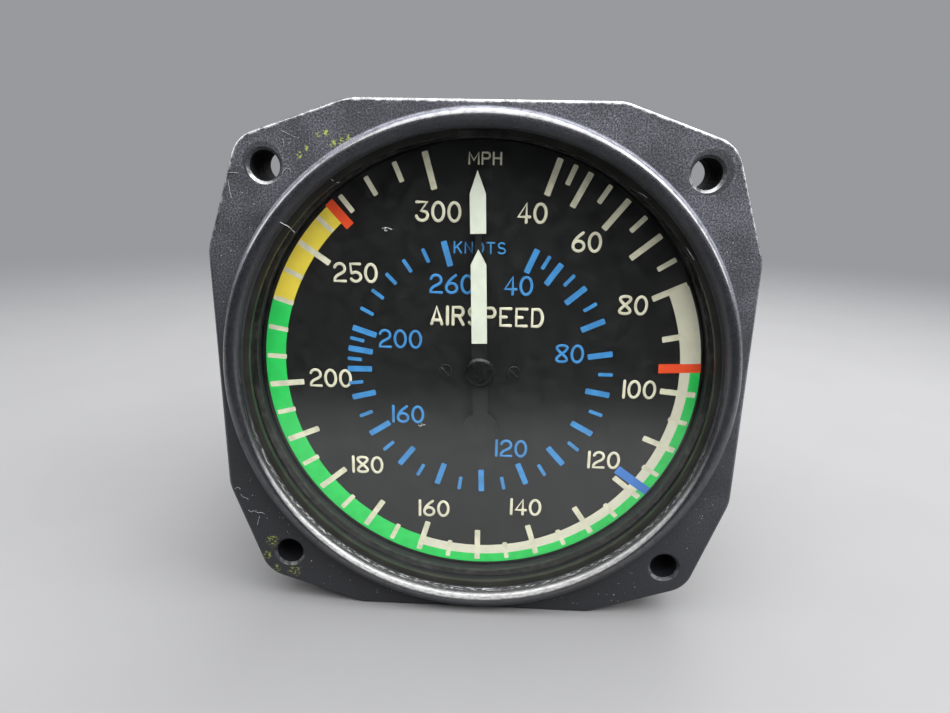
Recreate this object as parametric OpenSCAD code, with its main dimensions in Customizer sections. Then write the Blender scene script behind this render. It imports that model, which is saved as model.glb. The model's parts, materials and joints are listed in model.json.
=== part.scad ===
// Airspeed indicator with its pressure capsule movement, in millimetres.
// X is right, Y is depth into the case, Z is up. The flange's front face is the plane Y = 0.

/* [Flange] */
// How far the flange's flats stand outside the ring
flange_rim = 1.2; // [0.8:0.1:3]
// Length of the straight part of each side
flat_len = 38.8; // [30:0.2:44]
// Thickness of the flange
flange_t = 5.6; // [4.6:0.2:8]
// Distance from the ring's outer face to the axis of each panel hole
screw_offset = 4.856; // [4.2:0.001:6]
// Diameter of each panel hole
hole_d = 4.4; // [3.6:0.1:5]
// Radius of the flange's corner around each hole
ear_r = 5; // [4.6:0.1:5.6]
// Height of the boss behind each panel hole
ear_boss_h = 4; // [3:0.5:5]
// Depth of the chamfer at each hole's mouth
hole_chamfer = 0.35; // [0.1:0.05:0.6]

/* [Ring] */
// Outer diameter of the raised ring, which fits the panel's cut-out
bezel_d = 79.2; // [70:0.1:90]
// Height of the ring's crest over the flange
bezel_h = 2; // [1.6:0.1:3.5]
// Width of the ring's front
ring_wall = 2.5; // [2:0.1:3.5]

/* [Case] */
// How far the body is set in from the ring
body_set_in = 0.4; // [0.2:0.1:0.8]
// How much the body narrows on each side towards its rear
draft = 0.7; // [0.3:0.1:1]
// Thickness of the side wall
wall = 2.4; // [2:0.1:2.6]
// Thickness of the rear wall
rear_t = 4; // [3.4:0.1:5]
// Length of the bosses between the movement and the rear wall
stand_off = 10; // [9:0.5:14]
// Radius of the rear edge
rear_round = 3; // [2:0.5:4]
// Distance of each pressure port from the middle
port_x = 16; // [14:0.5:18]
// Radius of the boss around each port
port_boss_r = 8.5; // [7.5:0.5:9.5]
// Height of each boss over the rear wall
port_boss_h = 6; // [5:0.5:8]
// Radius of each port's threaded hole
port_r = 4.3; // [4.1:0.1:4.5]
// Wall left between each port's threaded hole and the inside
port_web = 1; // [0.8:0.1:1.6]

/* [Glass] */
// Depth of the retaining ring's front behind the flange face
ring_y = 0.6; // [0.2:0.1:1]
// Thickness of the retaining ring
ring_t = 0.8; // [0.6:0.1:1]
// Depth of the groove that holds the retaining ring
groove = 0.6; // [0.4:0.1:0.8]
// Width of the retaining ring's face
ring_w = 1.5; // [1.2:0.1:1.8]
// Gap between the retaining ring's ends
ring_gap = 7; // [4:1:12]
// Thickness of the cover glass
glass_t = 2.2; // [1.8:0.1:2.4]
// Clearance around the cover glass
glass_clear = 0.15; // [0.1:0.05:0.3]
// Thickness of the gasket behind the glass
gasket_t = 0.6; // [0.4:0.1:0.8]
// Width of the ledge that the gasket lies on
seat_w = 1; // [0.8:0.1:1.2]

/* [Dial] */
// Distance from the glass's ledge to the dial's face
dial_set = 1.3; // [1.2:0.1:2.2]
// Thickness of the dial
dial_t = 1; // [0.8:0.1:1.4]
// Clearance around the dial
dial_clear = 0.25; // [0.15:0.05:0.5]
// Margin outside the MPH marks
dial_margin = 0.7; // [0.6:0.1:2]
// Thickness of the printed layers
print_t = 0.06; // [0.04:0.01:0.1]
// Width of the range arcs
arc_w = 3.25; // [2.4:0.05:3.4]
// Distance of each dial screw from the middle
dial_screw_x = 5.55; // [5:0.05:6.5]

/* [Pointer] */
// Gap between the glass and the pointer's hub
hub_gap = 0.25; // [0.2:0.05:0.5]
// Width of the pointer's blade
pointer_w = 2.44; // [2:0.02:3]
// Thickness of the pointer's blade
pointer_t = 0.4; // [0.3:0.05:0.5]
// Angle of the resting pointer, anticlockwise from straight up
pointer_lean = 1.75; // [0:0.05:3]
// Radius of the domed hub
hub_r = 2.45; // [2:0.05:3]
// Radius of the counterweight at the tail's end
tail_weight_r = 2.8; // [2:0.1:3.2]
// Full turn of the pointer along the scale, in degrees
sweep = 348; // [330:1:349]

/* [Movement] */
// Clearance between the case and the movement's two plates
plate_clear = 5.6; // [5:0.1:6.5]
// Gap between the two plates
plate_gap = 16; // [14.5:0.5:20]
// Thickness of each plate
plate_t = 2; // [1.6:0.1:2.4]
// Radius of a pillar
pillar_r = 2.5; // [2.2:0.1:2.8]
// Play between the teeth along the pitch circle
backlash = 0.12; // [0.08:0.01:0.16]
// Thickness of the sector
sector_t = 1.5; // [1.2:0.1:2]
// Radial clearance of every running pivot
pivot_clear = 0.03; // [0.02:0.01:0.08]
// Turns of the hairspring
spring_turns = 5; // [4:1:6]

/* [Capsule] */
// Clearance between the capsule and the posts
capsule_clear = 2.5; // [1.5:0.5:5]
// Half of the capsule's thickness at its middle
capsule_half = 3.6; // [3.2:0.1:4.4]
// Thickness of each shell
shell_t = 0.25; // [0.2:0.05:0.35]
// Height of the shells' corrugations
corrugation = 0.5; // [0.2:0.05:0.55]
// Length of the posts between rear plate and bridge
post_len = 24; // [21.5:0.5:27]
// Outer radius of the pressure pipe
pipe_r = 1.5; // [1.3:0.1:1.7]

/* [Hidden] */
$fn = 72;
eps = 0.01;

// Ring and glass, from the front to the dial
bezel_r = bezel_d / 2;
lip_r = bezel_r - ring_wall;
crest_r = ring_wall / 2;
crest_c = lip_r + crest_r;
crest_y = crest_r - bezel_h;
groove_r = lip_r + groove;
ring_clear = 0.05;
ring_r = groove_r - ring_clear;
glass_y = ring_y + ring_t;
glass_r = lip_r - glass_clear;
gasket_y = glass_y + glass_t;
seat_y = gasket_y + gasket_t;
seat_r = glass_r - seat_w;
seat_t = 1.2;
dial_y = seat_y + dial_set;
dial_r = seat_r - dial_clear;
dial_back = dial_y + dial_t;

// Pointer, between the glass and the dial
hub_front = gasket_y + hub_gap;
hub_h = 0.5;
pointer_y = hub_front + hub_h;
pointer_back = pointer_y + pointer_t;
hub_back = dial_y - 0.2;
spigot_r = 0.9;
sleeve_r = 1.4;
sleeve_clear = 0.4;
tip_r = 0.6;

// Dial marks: lengths inwards from their outer circle, and widths
mph_r = dial_r - dial_margin;
mph_long = 5.7;
mph_short = 3.15;
mph_wide = 0.94;
mph_narrow = 0.77;
knots_r = 0.6171 * mph_r;
knots_long = 4;
knots_short = 2.35;
knots_wide = 0.93;
knots_narrow = 0.57;
mark_round = 0.15;
arc_r = mph_r + 0.25;
bar_long = 6.3;
bar_short = 4.4;
bar_over = 0.4;
bar_w = 1.5;

// Centres of the printed layers, which lie a little off the dial's own centre
mph_at = [0.1, 0.15];
knots_at = [-0.1, 0];
arcs_at = [0.1, -0.1];

// Pointer's blade, in parts of its length
pointer_len = 0.897 * mph_r;
upper_base = 0.704 * pointer_len;
lower_tip = 0.63 * pointer_len;
lower_base = 0.155 * pointer_len;
upper_taper = 3.4;
lower_taper = 2.4;
neck_w = 1.04;
tail_z = -9.6;

// Movement, front to rear
boss_h = 2.5;
boss_r = dial_screw_x + 2.4;
front_y = dial_back + boss_h;
front_end = front_y + plate_t;
rear_y = front_end + plate_gap;
rear_end = rear_y + plate_t;
bridge_y = rear_end + post_len;
bridge_t = 3;
bridge_end = bridge_y + bridge_t;
back_in = bridge_end + stand_off;
depth = back_in + rear_t;

// Case
half_flange = bezel_r + flange_rim;
half_pitch = (bezel_r + screw_offset) / sqrt(2);
body_r = bezel_r - body_set_in;
rear_r = body_r - draft;
bore_r = body_r - wall;
bore_rear_r = rear_r - wall;
bore_round = 2;
port_end = depth + port_boss_h;
port_floor = back_in + port_web;
join_r = (groove_r + body_r) / 2;
flat_blend = 7;
ear_end = flange_t + ear_boss_h;
ear_boss_r = ear_r - 0.5;

// Plates, pillars and screws
plate_r = bore_rear_r - plate_clear;
pillar_circle = plate_r - 4.5;
bridge_r = plate_r + 2;
mount_circle = plate_r - 1.5;
pillar_angles = [30, 150, 270];
mount_angles = [90, 210, 330];
window_circle = plate_r / 2;
window_r = 0.15 * plate_r;
screw_r = 1.5;
screw_clear = 0.1;
fit_clear = 0.03;
screw_head_r = 2.7;
screw_head_h = 2;
mount_boss_r = screw_r + 2.5;
washer_t = 0.6;
washer_r = 3;
small_screw_r = 1;
small_head_r = 2;
small_head_h = 1.1;
dial_screw_r = 0.6;
dial_head_r = 1;
dial_head_h = 0.45;
post_spigot_r = 1.2;
spigot_len = 5;
spigot_gap = 0.5;
bush_r = 1.9;
bush_flange = 0.4;
bush_flange_r = bush_r + 0.6;
end_float = 0.15;
journal_r = 0.8;
staff_r = 1;
pivot_r = 0.5;
arbor_r = 0.9;

// Gears: the sector's pivot stands at the height of the rocking shaft
pinion_n = 12;
sector_n = 96;
pressure = 25;
gear_m = 0.4 * plate_r / 30.5;
tooth_pitch = 360 / sector_n;
centre_distance = gear_m * (pinion_n + sector_n) / 2;
arm_share = 0.37963;
tail_share = 0.20833;
arm_len = arm_share * centre_distance;
tail_r = tail_share * centre_distance;
rock_z = -arm_len;
sector_x = -sqrt(pow(centre_distance, 2) - pow(arm_len, 2));
mesh_angle = atan2(arm_len, -sector_x);
half_swing = sweep * pinion_n / sector_n / 2;
sector_y = front_end + 3;
sector_mid = sector_y + sector_t / 2;
rim_r = gear_m * (sector_n / 2 - 8);
hub_disc_r = 3.2;
spoke_w = 2;
tail_w = 4;
tail_angle = 180 - half_swing;
tail_len = tail_r / cos(half_swing) + 2.6;
pinion_over = 1;
sector_collet_r = 2.4;
sector_collet_t = 2.4;
first_tooth = -ceil(2 * half_swing / tooth_pitch) - 3;
last_tooth = 3;

// Rocking shaft: its finger reaches the sector's slot, its arm the capsule's post
rock_y = rear_end + 3.6;
finger_r = 0.6;
finger_x = sector_x - tail_r;
finger_over = 0.8;
slot_w = 2 * finger_r + 0.4;
finger_reach = rock_y - sector_mid;
half_rock = asin(tail_r * tan(half_swing) / finger_reach);
rock_r = 0.9;
collar_r = 1.9;
collar_half = 1.2;
arm_half_t = 0.6;
arm_over = 1.8;
shaft_left = finger_x - collar_half - 0.9;
shaft_right = collar_half + 2.2;
rock_pivot_r = 0.45;
rock_pivot_len = 0.8;
pivot_screw_r = 1.2;
pivot_screw_len = 3.6;
pivot_hole = 1.1;
ear_t = 2;
ear_w = 6;
ear_over = 2.4;
ear_set = pivot_screw_len - 0.9;
ear_left = shaft_left - end_float - ear_set;
ear_right = shaft_right + end_float + ear_set - ear_t;
finger_window = [2.4, 4.8];

// Capsule: the post's ball rests against the input arm
contact_gap = 0.02;
ball_r = 1.5;
ball_y = rock_y + arm_len * tan(half_rock) + (arm_half_t + ball_r) / cos(half_rock) + contact_gap;
post_foot = 0.8;
capsule_front = ball_y + 2.6;
rim_y = capsule_front + capsule_half;
capsule_rear = rim_y + capsule_half;
capsule_r = pillar_circle - pillar_r - capsule_clear;
dome = capsule_half - shell_t;
disc_r = 3.5;
flat_r = capsule_r - 1.5;
bend_r = 3;
pipe_gap = 0.1;
pipe_run_y = back_in - bend_r - pipe_gap;
pipe_bore_r = pipe_r - 0.5;
pipe_seat = 2.5;
stud_r = 3;
stud_hub_r = 4;
stud_end = pipe_run_y - bend_r - 0.4;
nut_t = 2.6;
nut_w = 9;

// Hairspring around the staff
spring_y = sector_y + 6.5;
spring_h = 1.2;
spring_t = 0.2;
collet_r = 2.2;
collet_over = 0.8;
spring_r = 8.4;
spring_end_angle = 60;
spring_stud_r = 0.8;
spring_stud_over = 0.5;

// Dial scales: speed in miles an hour or in knots and its angle, clockwise from straight up
scale_mph = [
  [40, 18.7], [50, 27], [60, 38.5], [70, 50.6], [80, 65], [90, 78.4], [100, 95.2],
  [120, 128.5], [140, 162.6], [160, 197], [180, 231], [200, 264.2], [250, 304.8], [300, 345]
];
scale_knots = [
  [40, 23.4], [50, 35.1], [60, 49.3], [70, 65.7], [80, 80.7], [90, 99.4], [100, 118.9],
  [120, 157.2], [140, 198.5], [160, 237.3], [170, 256], [180, 269.2], [200, 288], [260, 344]
];
flap_low = 80;
red_low = 95.4;
flap_high = 160;
cruise_high = 230;
red_high = 266.3;
blue_speed = 118.1;

function mph(v) = lookup(v, scale_mph);
function kn(v) = lookup(v, scale_knots);
function polar(r, a) = [r * cos(a), r * sin(a)];
function clock(r, a) = [r * sin(a), r * cos(a)];
function arc(cx, cy, r, a0, a1, n) =
  [for (i = [0:n]) [cx, cy] + polar(r, a0 + (a1 - a0) * i / n)];

// Involute teeth: half of a tooth's angle at radius r
function inv(a) = tan(a) * 180 / PI - a;
function half_tooth(n, r) =
  let (rp = gear_m * n / 2, rb = rp * cos(pressure), a = acos(min(1, rb / r)))
  90 / n - backlash / 4 / rp * 180 / PI + inv(pressure) - inv(a);
function tooth(n, c) =
  let (rp = gear_m * n / 2, root = rp - 1.15 * gear_m, tip = rp + 0.9 * gear_m, k = 6)
  concat(
    [for (i = [0:k]) let (r = root + (tip - root) * i / k) polar(r, c - half_tooth(n, r))],
    [for (i = [k:-1:0]) let (r = root + (tip - root) * i / k) polar(r, c + half_tooth(n, r))]
  );

// Height of the capsule's front shell over its rim, at u from the disc to the flat
function shell_h(u) = dome * (1 - u) - corrugation * sin(1440 * u);

// Turns a section, drawn as radius and depth, about the pointer's axis
module revolve() {
  rotate([-90, 0, 0]) rotate_extrude() children();
}

// Lays a shape drawn as seen from the front between two depths
module slab(y0, y1) {
  translate([0, y1, 0]) rotate([90, 0, 0]) linear_extrude(y1 - y0) children();
}

// Round bar along the depth
module rod(x, z, y0, y1, r) {
  translate([x, y0, z]) rotate([-90, 0, 0]) cylinder(h = y1 - y0, r = r);
}

// Round bar across
module cross_rod(x0, x1, y, z, r) {
  translate([x0, y, z]) rotate([0, 90, 0]) cylinder(h = x1 - x0, r = r);
}

// Copies a piece to angles on a circle
module on_circle(r, angles) {
  for (a = angles) translate([r * cos(a), 0, r * sin(a)]) children();
}

// Puts a piece that is drawn at half travel into the rocking shaft's rest position
module rocked() {
  translate([0, rock_y, rock_z]) rotate([-half_rock, 0, 0]) children();
}

// One corner of the flange, from the end of one flat to the end of the next
function flange_corner() =
  let (
    dx = half_pitch - flat_len / 2,
    dz = half_flange - half_pitch,
    lift = 90 + asin(ear_r / norm([dx, dz])) - atan2(dz, dx),
    near = flat_len / 2 - flat_blend * tan((90 - lift) / 2),
    far = half_flange - flat_blend
  )
  concat(
    arc(far, near, flat_blend, 0, 90 - lift, 3),
    arc(half_pitch, half_pitch, ear_r, 90 - lift, lift, 8),
    arc(near, far, flat_blend, lift, 90, 3)
  );

module flange_outline() {
  corner = flange_corner();
  polygon([for (q = [0:3]) for (p = corner)
    [p[0] * cos(90 * q) - p[1] * sin(90 * q), p[0] * sin(90 * q) + p[1] * cos(90 * q)]]);
}

// Bosses behind the panel holes, joined to the body
module ear_bosses() {
  slab(flange_t - eps, ear_end) difference() {
    for (a = [45:90:315]) rotate(a) polygon(concat(
      [[0, -ear_boss_r]],
      arc(bezel_r + screw_offset, 0, ear_boss_r, -90, 90, 12),
      [[0, ear_boss_r]]
    ));
    circle(r = join_r);
  }
}

// Section of the case's wall: ring, glass seat, side and rear
module case_section() {
  polygon(concat(
    [for (p = arc(crest_c, 0, crest_r, 0, 180, 12)) [p[0], crest_y - p[1]]],
    [[lip_r, ring_y], [groove_r, ring_y], [groove_r, glass_y], [lip_r, glass_y]],
    [[lip_r, seat_y], [seat_r, seat_y], [seat_r, seat_y + seat_t]],
    [[bore_r, seat_y + seat_t + bore_r - seat_r]],
    arc(bore_rear_r - bore_round, back_in - bore_round, bore_round, 0, 90, 6),
    [[0, back_in], [0, depth]],
    arc(rear_r - rear_round, depth - rear_round, rear_round, 90, 0, 8),
    [[body_r, flange_t], [body_r, flange_t / 2], [bezel_r, flange_t / 2]]
  ));
}

module case() {
  color("dimgray") difference() {
    union() {
      revolve() case_section();
      slab(0, flange_t) difference() {
        flange_outline();
        circle(r = join_r);
      }
      ear_bosses();
      for (x = [-port_x, port_x]) rod(x, 0, depth - rear_t / 2, port_end, port_boss_r);
      on_circle(mount_circle, mount_angles) rod(0, 0, bridge_end, depth - rear_t / 2, mount_boss_r);
    }
    for (x = [-half_pitch, half_pitch], z = [-half_pitch, half_pitch]) {
      rod(x, z, -1, ear_end + 1, hole_d / 2);
      translate([x, -eps, z]) rotate([-90, 0, 0])
        cylinder(h = hole_chamfer + eps, r1 = hole_d / 2 + hole_chamfer + eps, r2 = hole_d / 2);
    }
    for (x = [-port_x, port_x]) {
      rod(x, 0, port_floor, port_end + 1, port_r);
      rod(x, 0, back_in - 1, port_floor + 1, pipe_r);
    }
    on_circle(mount_circle, mount_angles) rod(0, 0, bridge_end - 1, depth + 1, screw_r + screw_clear);
  }
}

module retaining_ring() {
  color("silver") slab(ring_y, glass_y) difference() {
    circle(r = ring_r);
    circle(r = ring_r - ring_w);
    translate([-ring_gap / 2, 0]) square([ring_gap, ring_r + 1]);
  }
}

module cover_glass() {
  color("lightcyan", 0.3) rod(0, 0, glass_y, gasket_y, glass_r);
}

module glass_gasket() {
  color("black") slab(gasket_y, seat_y) difference() {
    circle(r = glass_r);
    circle(r = seat_r);
  }
}

module dial() {
  color("black") difference() {
    rod(0, 0, dial_y, dial_back, dial_r);
    rod(0, 0, dial_y - 1, dial_back + 1, sleeve_r + sleeve_clear);
    for (x = [-dial_screw_x, dial_screw_x]) rod(x, 0, dial_y - 1, dial_back + 1, dial_screw_r + screw_clear);
  }
}

// One mark with softened corners at an angle of the clock
module mark(a, r0, r1, w) {
  side = w / 2 - mark_round;
  low = r0 + mark_round;
  high = r1 - mark_round;
  rotate(-a) polygon(concat(
    arc(side, high, mark_round, 0, 90, 2),
    arc(-side, high, mark_round, 90, 180, 2),
    arc(-side, low, mark_round, 180, 270, 2),
    arc(side, low, mark_round, 270, 360, 2)
  ));
}

module mph_mark(v, length, w) {
  translate(mph_at) mark(mph(v), mph_r - length, mph_r, w);
}

module mph_marks() {
  for (v = [40:10:200]) mph_mark(v, mph_long, mph_wide);
  for (v = [250, 300]) mph_mark(v, mph_long, mph_wide);
  for (v = [45:10:75]) mph_mark(v, mph_short, mph_narrow);
  for (v = [105:10:195]) mph_mark(v, mph_short, mph_narrow);
  for (v = [210:10:290]) if (v != 250) mph_mark(v, mph_short, mph_narrow);
}

module knots_mark(v, length, w) {
  translate(knots_at) mark(kn(v), knots_r - length, knots_r, w);
}

module knots_marks() {
  for (v = [40:10:200]) knots_mark(v, knots_long, knots_wide);
  knots_mark(260, knots_long, knots_wide);
  for (v = [45:10:195]) if (v < 70 || v > 80) knots_mark(v, knots_short, knots_narrow);
  for (v = [210:10:250]) knots_mark(v, knots_short, knots_narrow);
}

// A straight bar across the range arcs
module limit_bar(v, length) {
  rotate(-mph(v)) translate([-bar_w / 2, mph_r - length]) square([bar_w, length + bar_over]);
}

module red_bars() {
  limit_bar(red_low, bar_long);
  limit_bar(red_high, bar_short);
}

module blue_bar() {
  limit_bar(blue_speed, bar_long);
}

// Part of a painted range arc, from one speed to another
module range_band(v0, v1, r0, r1) {
  a0 = mph(v0);
  a1 = mph(v1);
  n = ceil((a1 - a0) / 2);
  translate(arcs_at) polygon(concat(
    [for (i = [0:n]) clock(r1, a0 + (a1 - a0) * i / n)],
    [for (i = [n:-1:0]) clock(r0, a0 + (a1 - a0) * i / n)]
  ));
}

// A printed layer on the dial's face, cut away where marks and bars lie over it
module printed() {
  slab(dial_y - print_t, dial_y) children();
}

module mph_scale() {
  color("cornsilk") printed() difference() {
    mph_marks();
    red_bars();
    blue_bar();
  }
}

module knots_scale() {
  color("steelblue") printed() knots_marks();
}

module white_arc() {
  color("ivory") printed() difference() {
    union() {
      range_band(flap_low, red_low, arc_r - arc_w, arc_r);
      range_band(red_low, flap_high, arc_r - arc_w, arc_r - arc_w / 2);
    }
    mph_marks();
    red_bars();
    blue_bar();
  }
}

module green_arc() {
  color("limegreen") printed() difference() {
    union() {
      range_band(red_low, flap_high, arc_r - arc_w / 2, arc_r);
      range_band(flap_high, cruise_high, arc_r - arc_w, arc_r);
    }
    mph_marks();
    red_bars();
    blue_bar();
  }
}

module yellow_arc() {
  color("gold") printed() difference() {
    range_band(cruise_high, red_high, arc_r - arc_w, arc_r);
    mph_marks();
    red_bars();
  }
}

module red_lines() {
  color("orangered") printed() red_bars();
}

module blue_line() {
  color("royalblue") printed() blue_bar();
}

// Slotted screw: head towards the front, shank into the depth
module slotted_screw(head_r, head_h, shank_r, shank_len, turn) {
  difference() {
    union() {
      rod(0, 0, -head_h, 0, head_r);
      rod(0, 0, -eps, shank_len, shank_r);
    }
    rotate([0, turn, 0]) translate([-head_r - 1, -head_h - 1, -0.15 * head_r])
      cube([2 * head_r + 2, 1 + 0.45 * head_h, 0.3 * head_r]);
  }
}

module dial_screws() {
  color("black") for (x = [-dial_screw_x, dial_screw_x])
    translate([x, dial_y, 0]) slotted_screw(dial_head_r, dial_head_h, dial_screw_r, dial_t + boss_h, 45);
}

// Outline of the blade, straight up from its pivot
module lance(base, tip, shoulder) {
  h = pointer_w / 2;
  polygon([[-h, base], [h, base], [h, tip - shoulder], [0, tip], [-h, tip - shoulder]]);
}

module upper_lance() {
  lance(upper_base, pointer_len, upper_taper);
}

module lower_lance(base) {
  lance(base, lower_tip, lower_taper);
}

module pointer() {
  color("black") slab(pointer_y, pointer_back) rotate(pointer_lean) difference() {
    union() {
      upper_lance();
      lower_lance(tail_z);
      translate([-neck_w / 2, 0]) square([neck_w, upper_base + 0.5]);
      translate([0, tail_z]) circle(r = tail_weight_r);
    }
    circle(r = spigot_r);
  }
}

module pointer_paint() {
  color("white") slab(pointer_y - print_t, pointer_y) rotate(pointer_lean) {
    upper_lance();
    lower_lance(lower_base);
  }
}

module pointer_hub() {
  color("black") difference() {
    revolve() polygon(concat(
      [[0, hub_back], [sleeve_r, hub_back], [sleeve_r, pointer_back], [spigot_r, pointer_back]],
      [[spigot_r, pointer_y], [hub_r, pointer_y], [hub_r, pointer_y - 0.15]],
      [[hub_r - 0.35, hub_front + 0.06], [hub_r - 0.7, hub_front], [0, hub_front]]
    ));
    rod(0, 0, hub_front - 1, hub_back + 1, tip_r);
  }
}

module plate_windows(angles) {
  for (a = angles) rotate(a) translate([window_circle, 0]) circle(r = window_r);
}

module plate_holes(r) {
  for (a = pillar_angles) rotate(a) translate([pillar_circle, 0]) circle(r = r);
  circle(r = bush_r);
  translate([sector_x, rock_z]) circle(r = bush_r);
}

module front_plate() {
  color("darkkhaki") difference() {
    union() {
      slab(front_y, front_end) difference() {
        circle(r = plate_r);
        plate_holes(small_screw_r + screw_clear);
        plate_windows([90, 330, 275]);
      }
      rod(0, 0, dial_back, front_y + eps, boss_r);
    }
    rod(0, 0, dial_back - 1, front_y + 1, bush_r);
    for (x = [-dial_screw_x, dial_screw_x]) rod(x, 0, dial_back - 1, front_y + 0.5, dial_screw_r);
  }
}

// Bearing ear on the rear plate for one end of the rocking shaft
module pivot_ear(x) {
  translate([x, rear_end - eps, rock_z - ear_w / 2]) cube([ear_t, rock_y - rear_end + ear_over, ear_w]);
}

module rear_plate() {
  color("darkkhaki") difference() {
    union() {
      slab(rear_y, rear_end) difference() {
        circle(r = plate_r);
        plate_holes(post_spigot_r + fit_clear);
        plate_windows([90, 330, 275]);
        translate([finger_x, rock_z] - finger_window / 2) square(finger_window);
      }
      pivot_ear(ear_left);
      pivot_ear(ear_right);
    }
    cross_rod(ear_left - 1, ear_left + ear_t + 1, rock_y, rock_z, pivot_screw_r);
    cross_rod(ear_right - 1, ear_right + ear_t + 1, rock_y, rock_z, pivot_screw_r);
  }
}

module pillars() {
  color("goldenrod") on_circle(pillar_circle, pillar_angles) difference() {
    rod(0, 0, front_end, rear_y, pillar_r);
    rod(0, 0, front_end - 1, front_end + spigot_len, small_screw_r);
    rod(0, 0, rear_y - spigot_len, rear_y + 1, post_spigot_r);
  }
}

module pillar_screws() {
  color("silver") on_circle(pillar_circle, pillar_angles)
    translate([0, front_y, 0])
      slotted_screw(small_head_r, small_head_h, small_screw_r, plate_t + spigot_len - spigot_gap, 20);
}

module hand_staff() {
  front_shoulder = front_end + bush_flange + end_float;
  rear_shoulder = rear_y - bush_flange - end_float;
  color("lightsteelblue") revolve() polygon([
    [0, hub_front + 0.1], [tip_r, hub_front + 0.1], [tip_r, hub_back + 0.1], [journal_r, hub_back + 0.1],
    [journal_r, front_shoulder], [staff_r, front_shoulder], [staff_r, rear_shoulder],
    [pivot_r, rear_shoulder], [pivot_r, rear_end - 0.1], [0, rear_end - 0.1]
  ]);
}

module pinion() {
  color("gold") slab(sector_y - pinion_over, sector_y + sector_t + pinion_over) difference() {
    polygon([for (i = [0:pinion_n - 1])
      for (p = tooth(pinion_n, mesh_angle + 180 + i * 360 / pinion_n)) p]);
    circle(r = staff_r);
  }
}

module hairspring_collet() {
  color("gold") slab(spring_y - collet_over, spring_y + spring_h + collet_over) difference() {
    circle(r = collet_r);
    circle(r = staff_r);
  }
}

// Flat spiral, wound from the collet out to the stud
module hairspring() {
  turn = 360 * spring_turns;
  r0 = collet_r + spring_t / 2 + eps;
  n = 22 * spring_turns;
  color("steelblue") slab(spring_y, spring_y + spring_h) polygon(concat(
    [for (i = [0:n]) polar(r0 + (spring_r - r0) * i / n - spring_t / 2,
      spring_end_angle - turn * (1 - i / n))],
    [for (i = [n:-1:0]) polar(r0 + (spring_r - r0) * i / n + spring_t / 2,
      spring_end_angle - turn * (1 - i / n))]
  ));
}

module hairspring_stud() {
  post = polar(spring_r + spring_t / 2 + spring_stud_r, spring_end_angle);
  color("silver") rod(post[0], post[1], spring_y - spring_stud_over, rear_y, spring_stud_r);
}

// Flanged bearing, its body in a plate and its flange on the plate's inner face
module bush(bore_r, y0, y1, flange_y0) {
  difference() {
    union() {
      rod(0, 0, y0, y1, bush_r);
      rod(0, 0, flange_y0, flange_y0 + bush_flange, bush_flange_r);
    }
    rod(0, 0, y0 - 1, y1 + 1, bore_r);
  }
}

module staff_bushes() {
  color("orange") {
    bush(journal_r + pivot_clear, front_y, front_end, front_end);
    bush(pivot_r + pivot_clear, rear_y, rear_end, rear_y - bush_flange);
  }
}

module sector_bushes() {
  color("orange") translate([sector_x, 0, rock_z]) {
    bush(pivot_r + pivot_clear, front_y, front_end, front_end);
    bush(pivot_r + pivot_clear, rear_y, rear_end, rear_y - bush_flange);
  }
}

module sector_gear() {
  a0 = mesh_angle + (first_tooth + 0.1) * tooth_pitch;
  a1 = mesh_angle + (last_tooth + 0.9) * tooth_pitch;
  color("gold") translate([sector_x, 0, rock_z]) slab(sector_y, sector_y + sector_t) difference() {
    union() {
      polygon(concat(
        [for (i = [first_tooth:last_tooth])
          for (p = tooth(sector_n, mesh_angle + (i + 0.5) * tooth_pitch)) p],
        arc(0, 0, rim_r, a1, a0, 24)
      ));
      for (k = [0.06, 0.5, 0.94]) rotate(a0 + (a1 - a0) * k) translate([0, -spoke_w / 2])
        square([rim_r + 0.8, spoke_w]);
      rotate(tail_angle) translate([0, -tail_w / 2]) square([tail_len, tail_w]);
      circle(r = hub_disc_r);
    }
    circle(r = arbor_r);
    rotate(tail_angle) translate([tail_r - 1, -slot_w / 2])
      square([tail_r / cos(half_swing) - tail_r + 2, slot_w]);
  }
}

module sector_arbor() {
  shoulder0 = front_end + bush_flange + end_float;
  shoulder1 = rear_y - bush_flange - end_float;
  color("lightsteelblue") translate([sector_x, 0, rock_z]) revolve() polygon([
    [0, front_y + 0.1], [pivot_r, front_y + 0.1], [pivot_r, shoulder0], [arbor_r, shoulder0],
    [arbor_r, shoulder1], [pivot_r, shoulder1], [pivot_r, rear_end - 0.1], [0, rear_end - 0.1]
  ]);
}

module sector_collet() {
  color("goldenrod") translate([sector_x, 0, rock_z])
    slab(sector_y + sector_t, sector_y + sector_t + sector_collet_t) difference() {
      circle(r = sector_collet_r);
      circle(r = arbor_r);
    }
}

module rocking_shaft() {
  color("lightsteelblue") rocked() {
    cross_rod(shaft_left, shaft_right, 0, 0, rock_r);
    cross_rod(shaft_left - rock_pivot_len, shaft_left + eps, 0, 0, rock_pivot_r);
    cross_rod(shaft_right - eps, shaft_right + rock_pivot_len, 0, 0, rock_pivot_r);
  }
}

module input_arm() {
  color("goldenrod") rocked() difference() {
    union() {
      cross_rod(-collar_half, collar_half, 0, 0, collar_r);
      translate([-collar_half, -arm_half_t, 0]) cube([2 * collar_half, 2 * arm_half_t, arm_len + arm_over]);
    }
    cross_rod(-collar_half - 1, collar_half + 1, 0, 0, rock_r);
  }
}

module output_finger() {
  color("goldenrod") rocked() translate([finger_x, 0, 0]) difference() {
    union() {
      cross_rod(-collar_half, collar_half, 0, 0, collar_r);
      rod(0, 0, -finger_reach - sector_t / 2 - finger_over, 0, finger_r);
    }
    cross_rod(-collar_half - 1, collar_half + 1, 0, 0, rock_r);
  }
}

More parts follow.
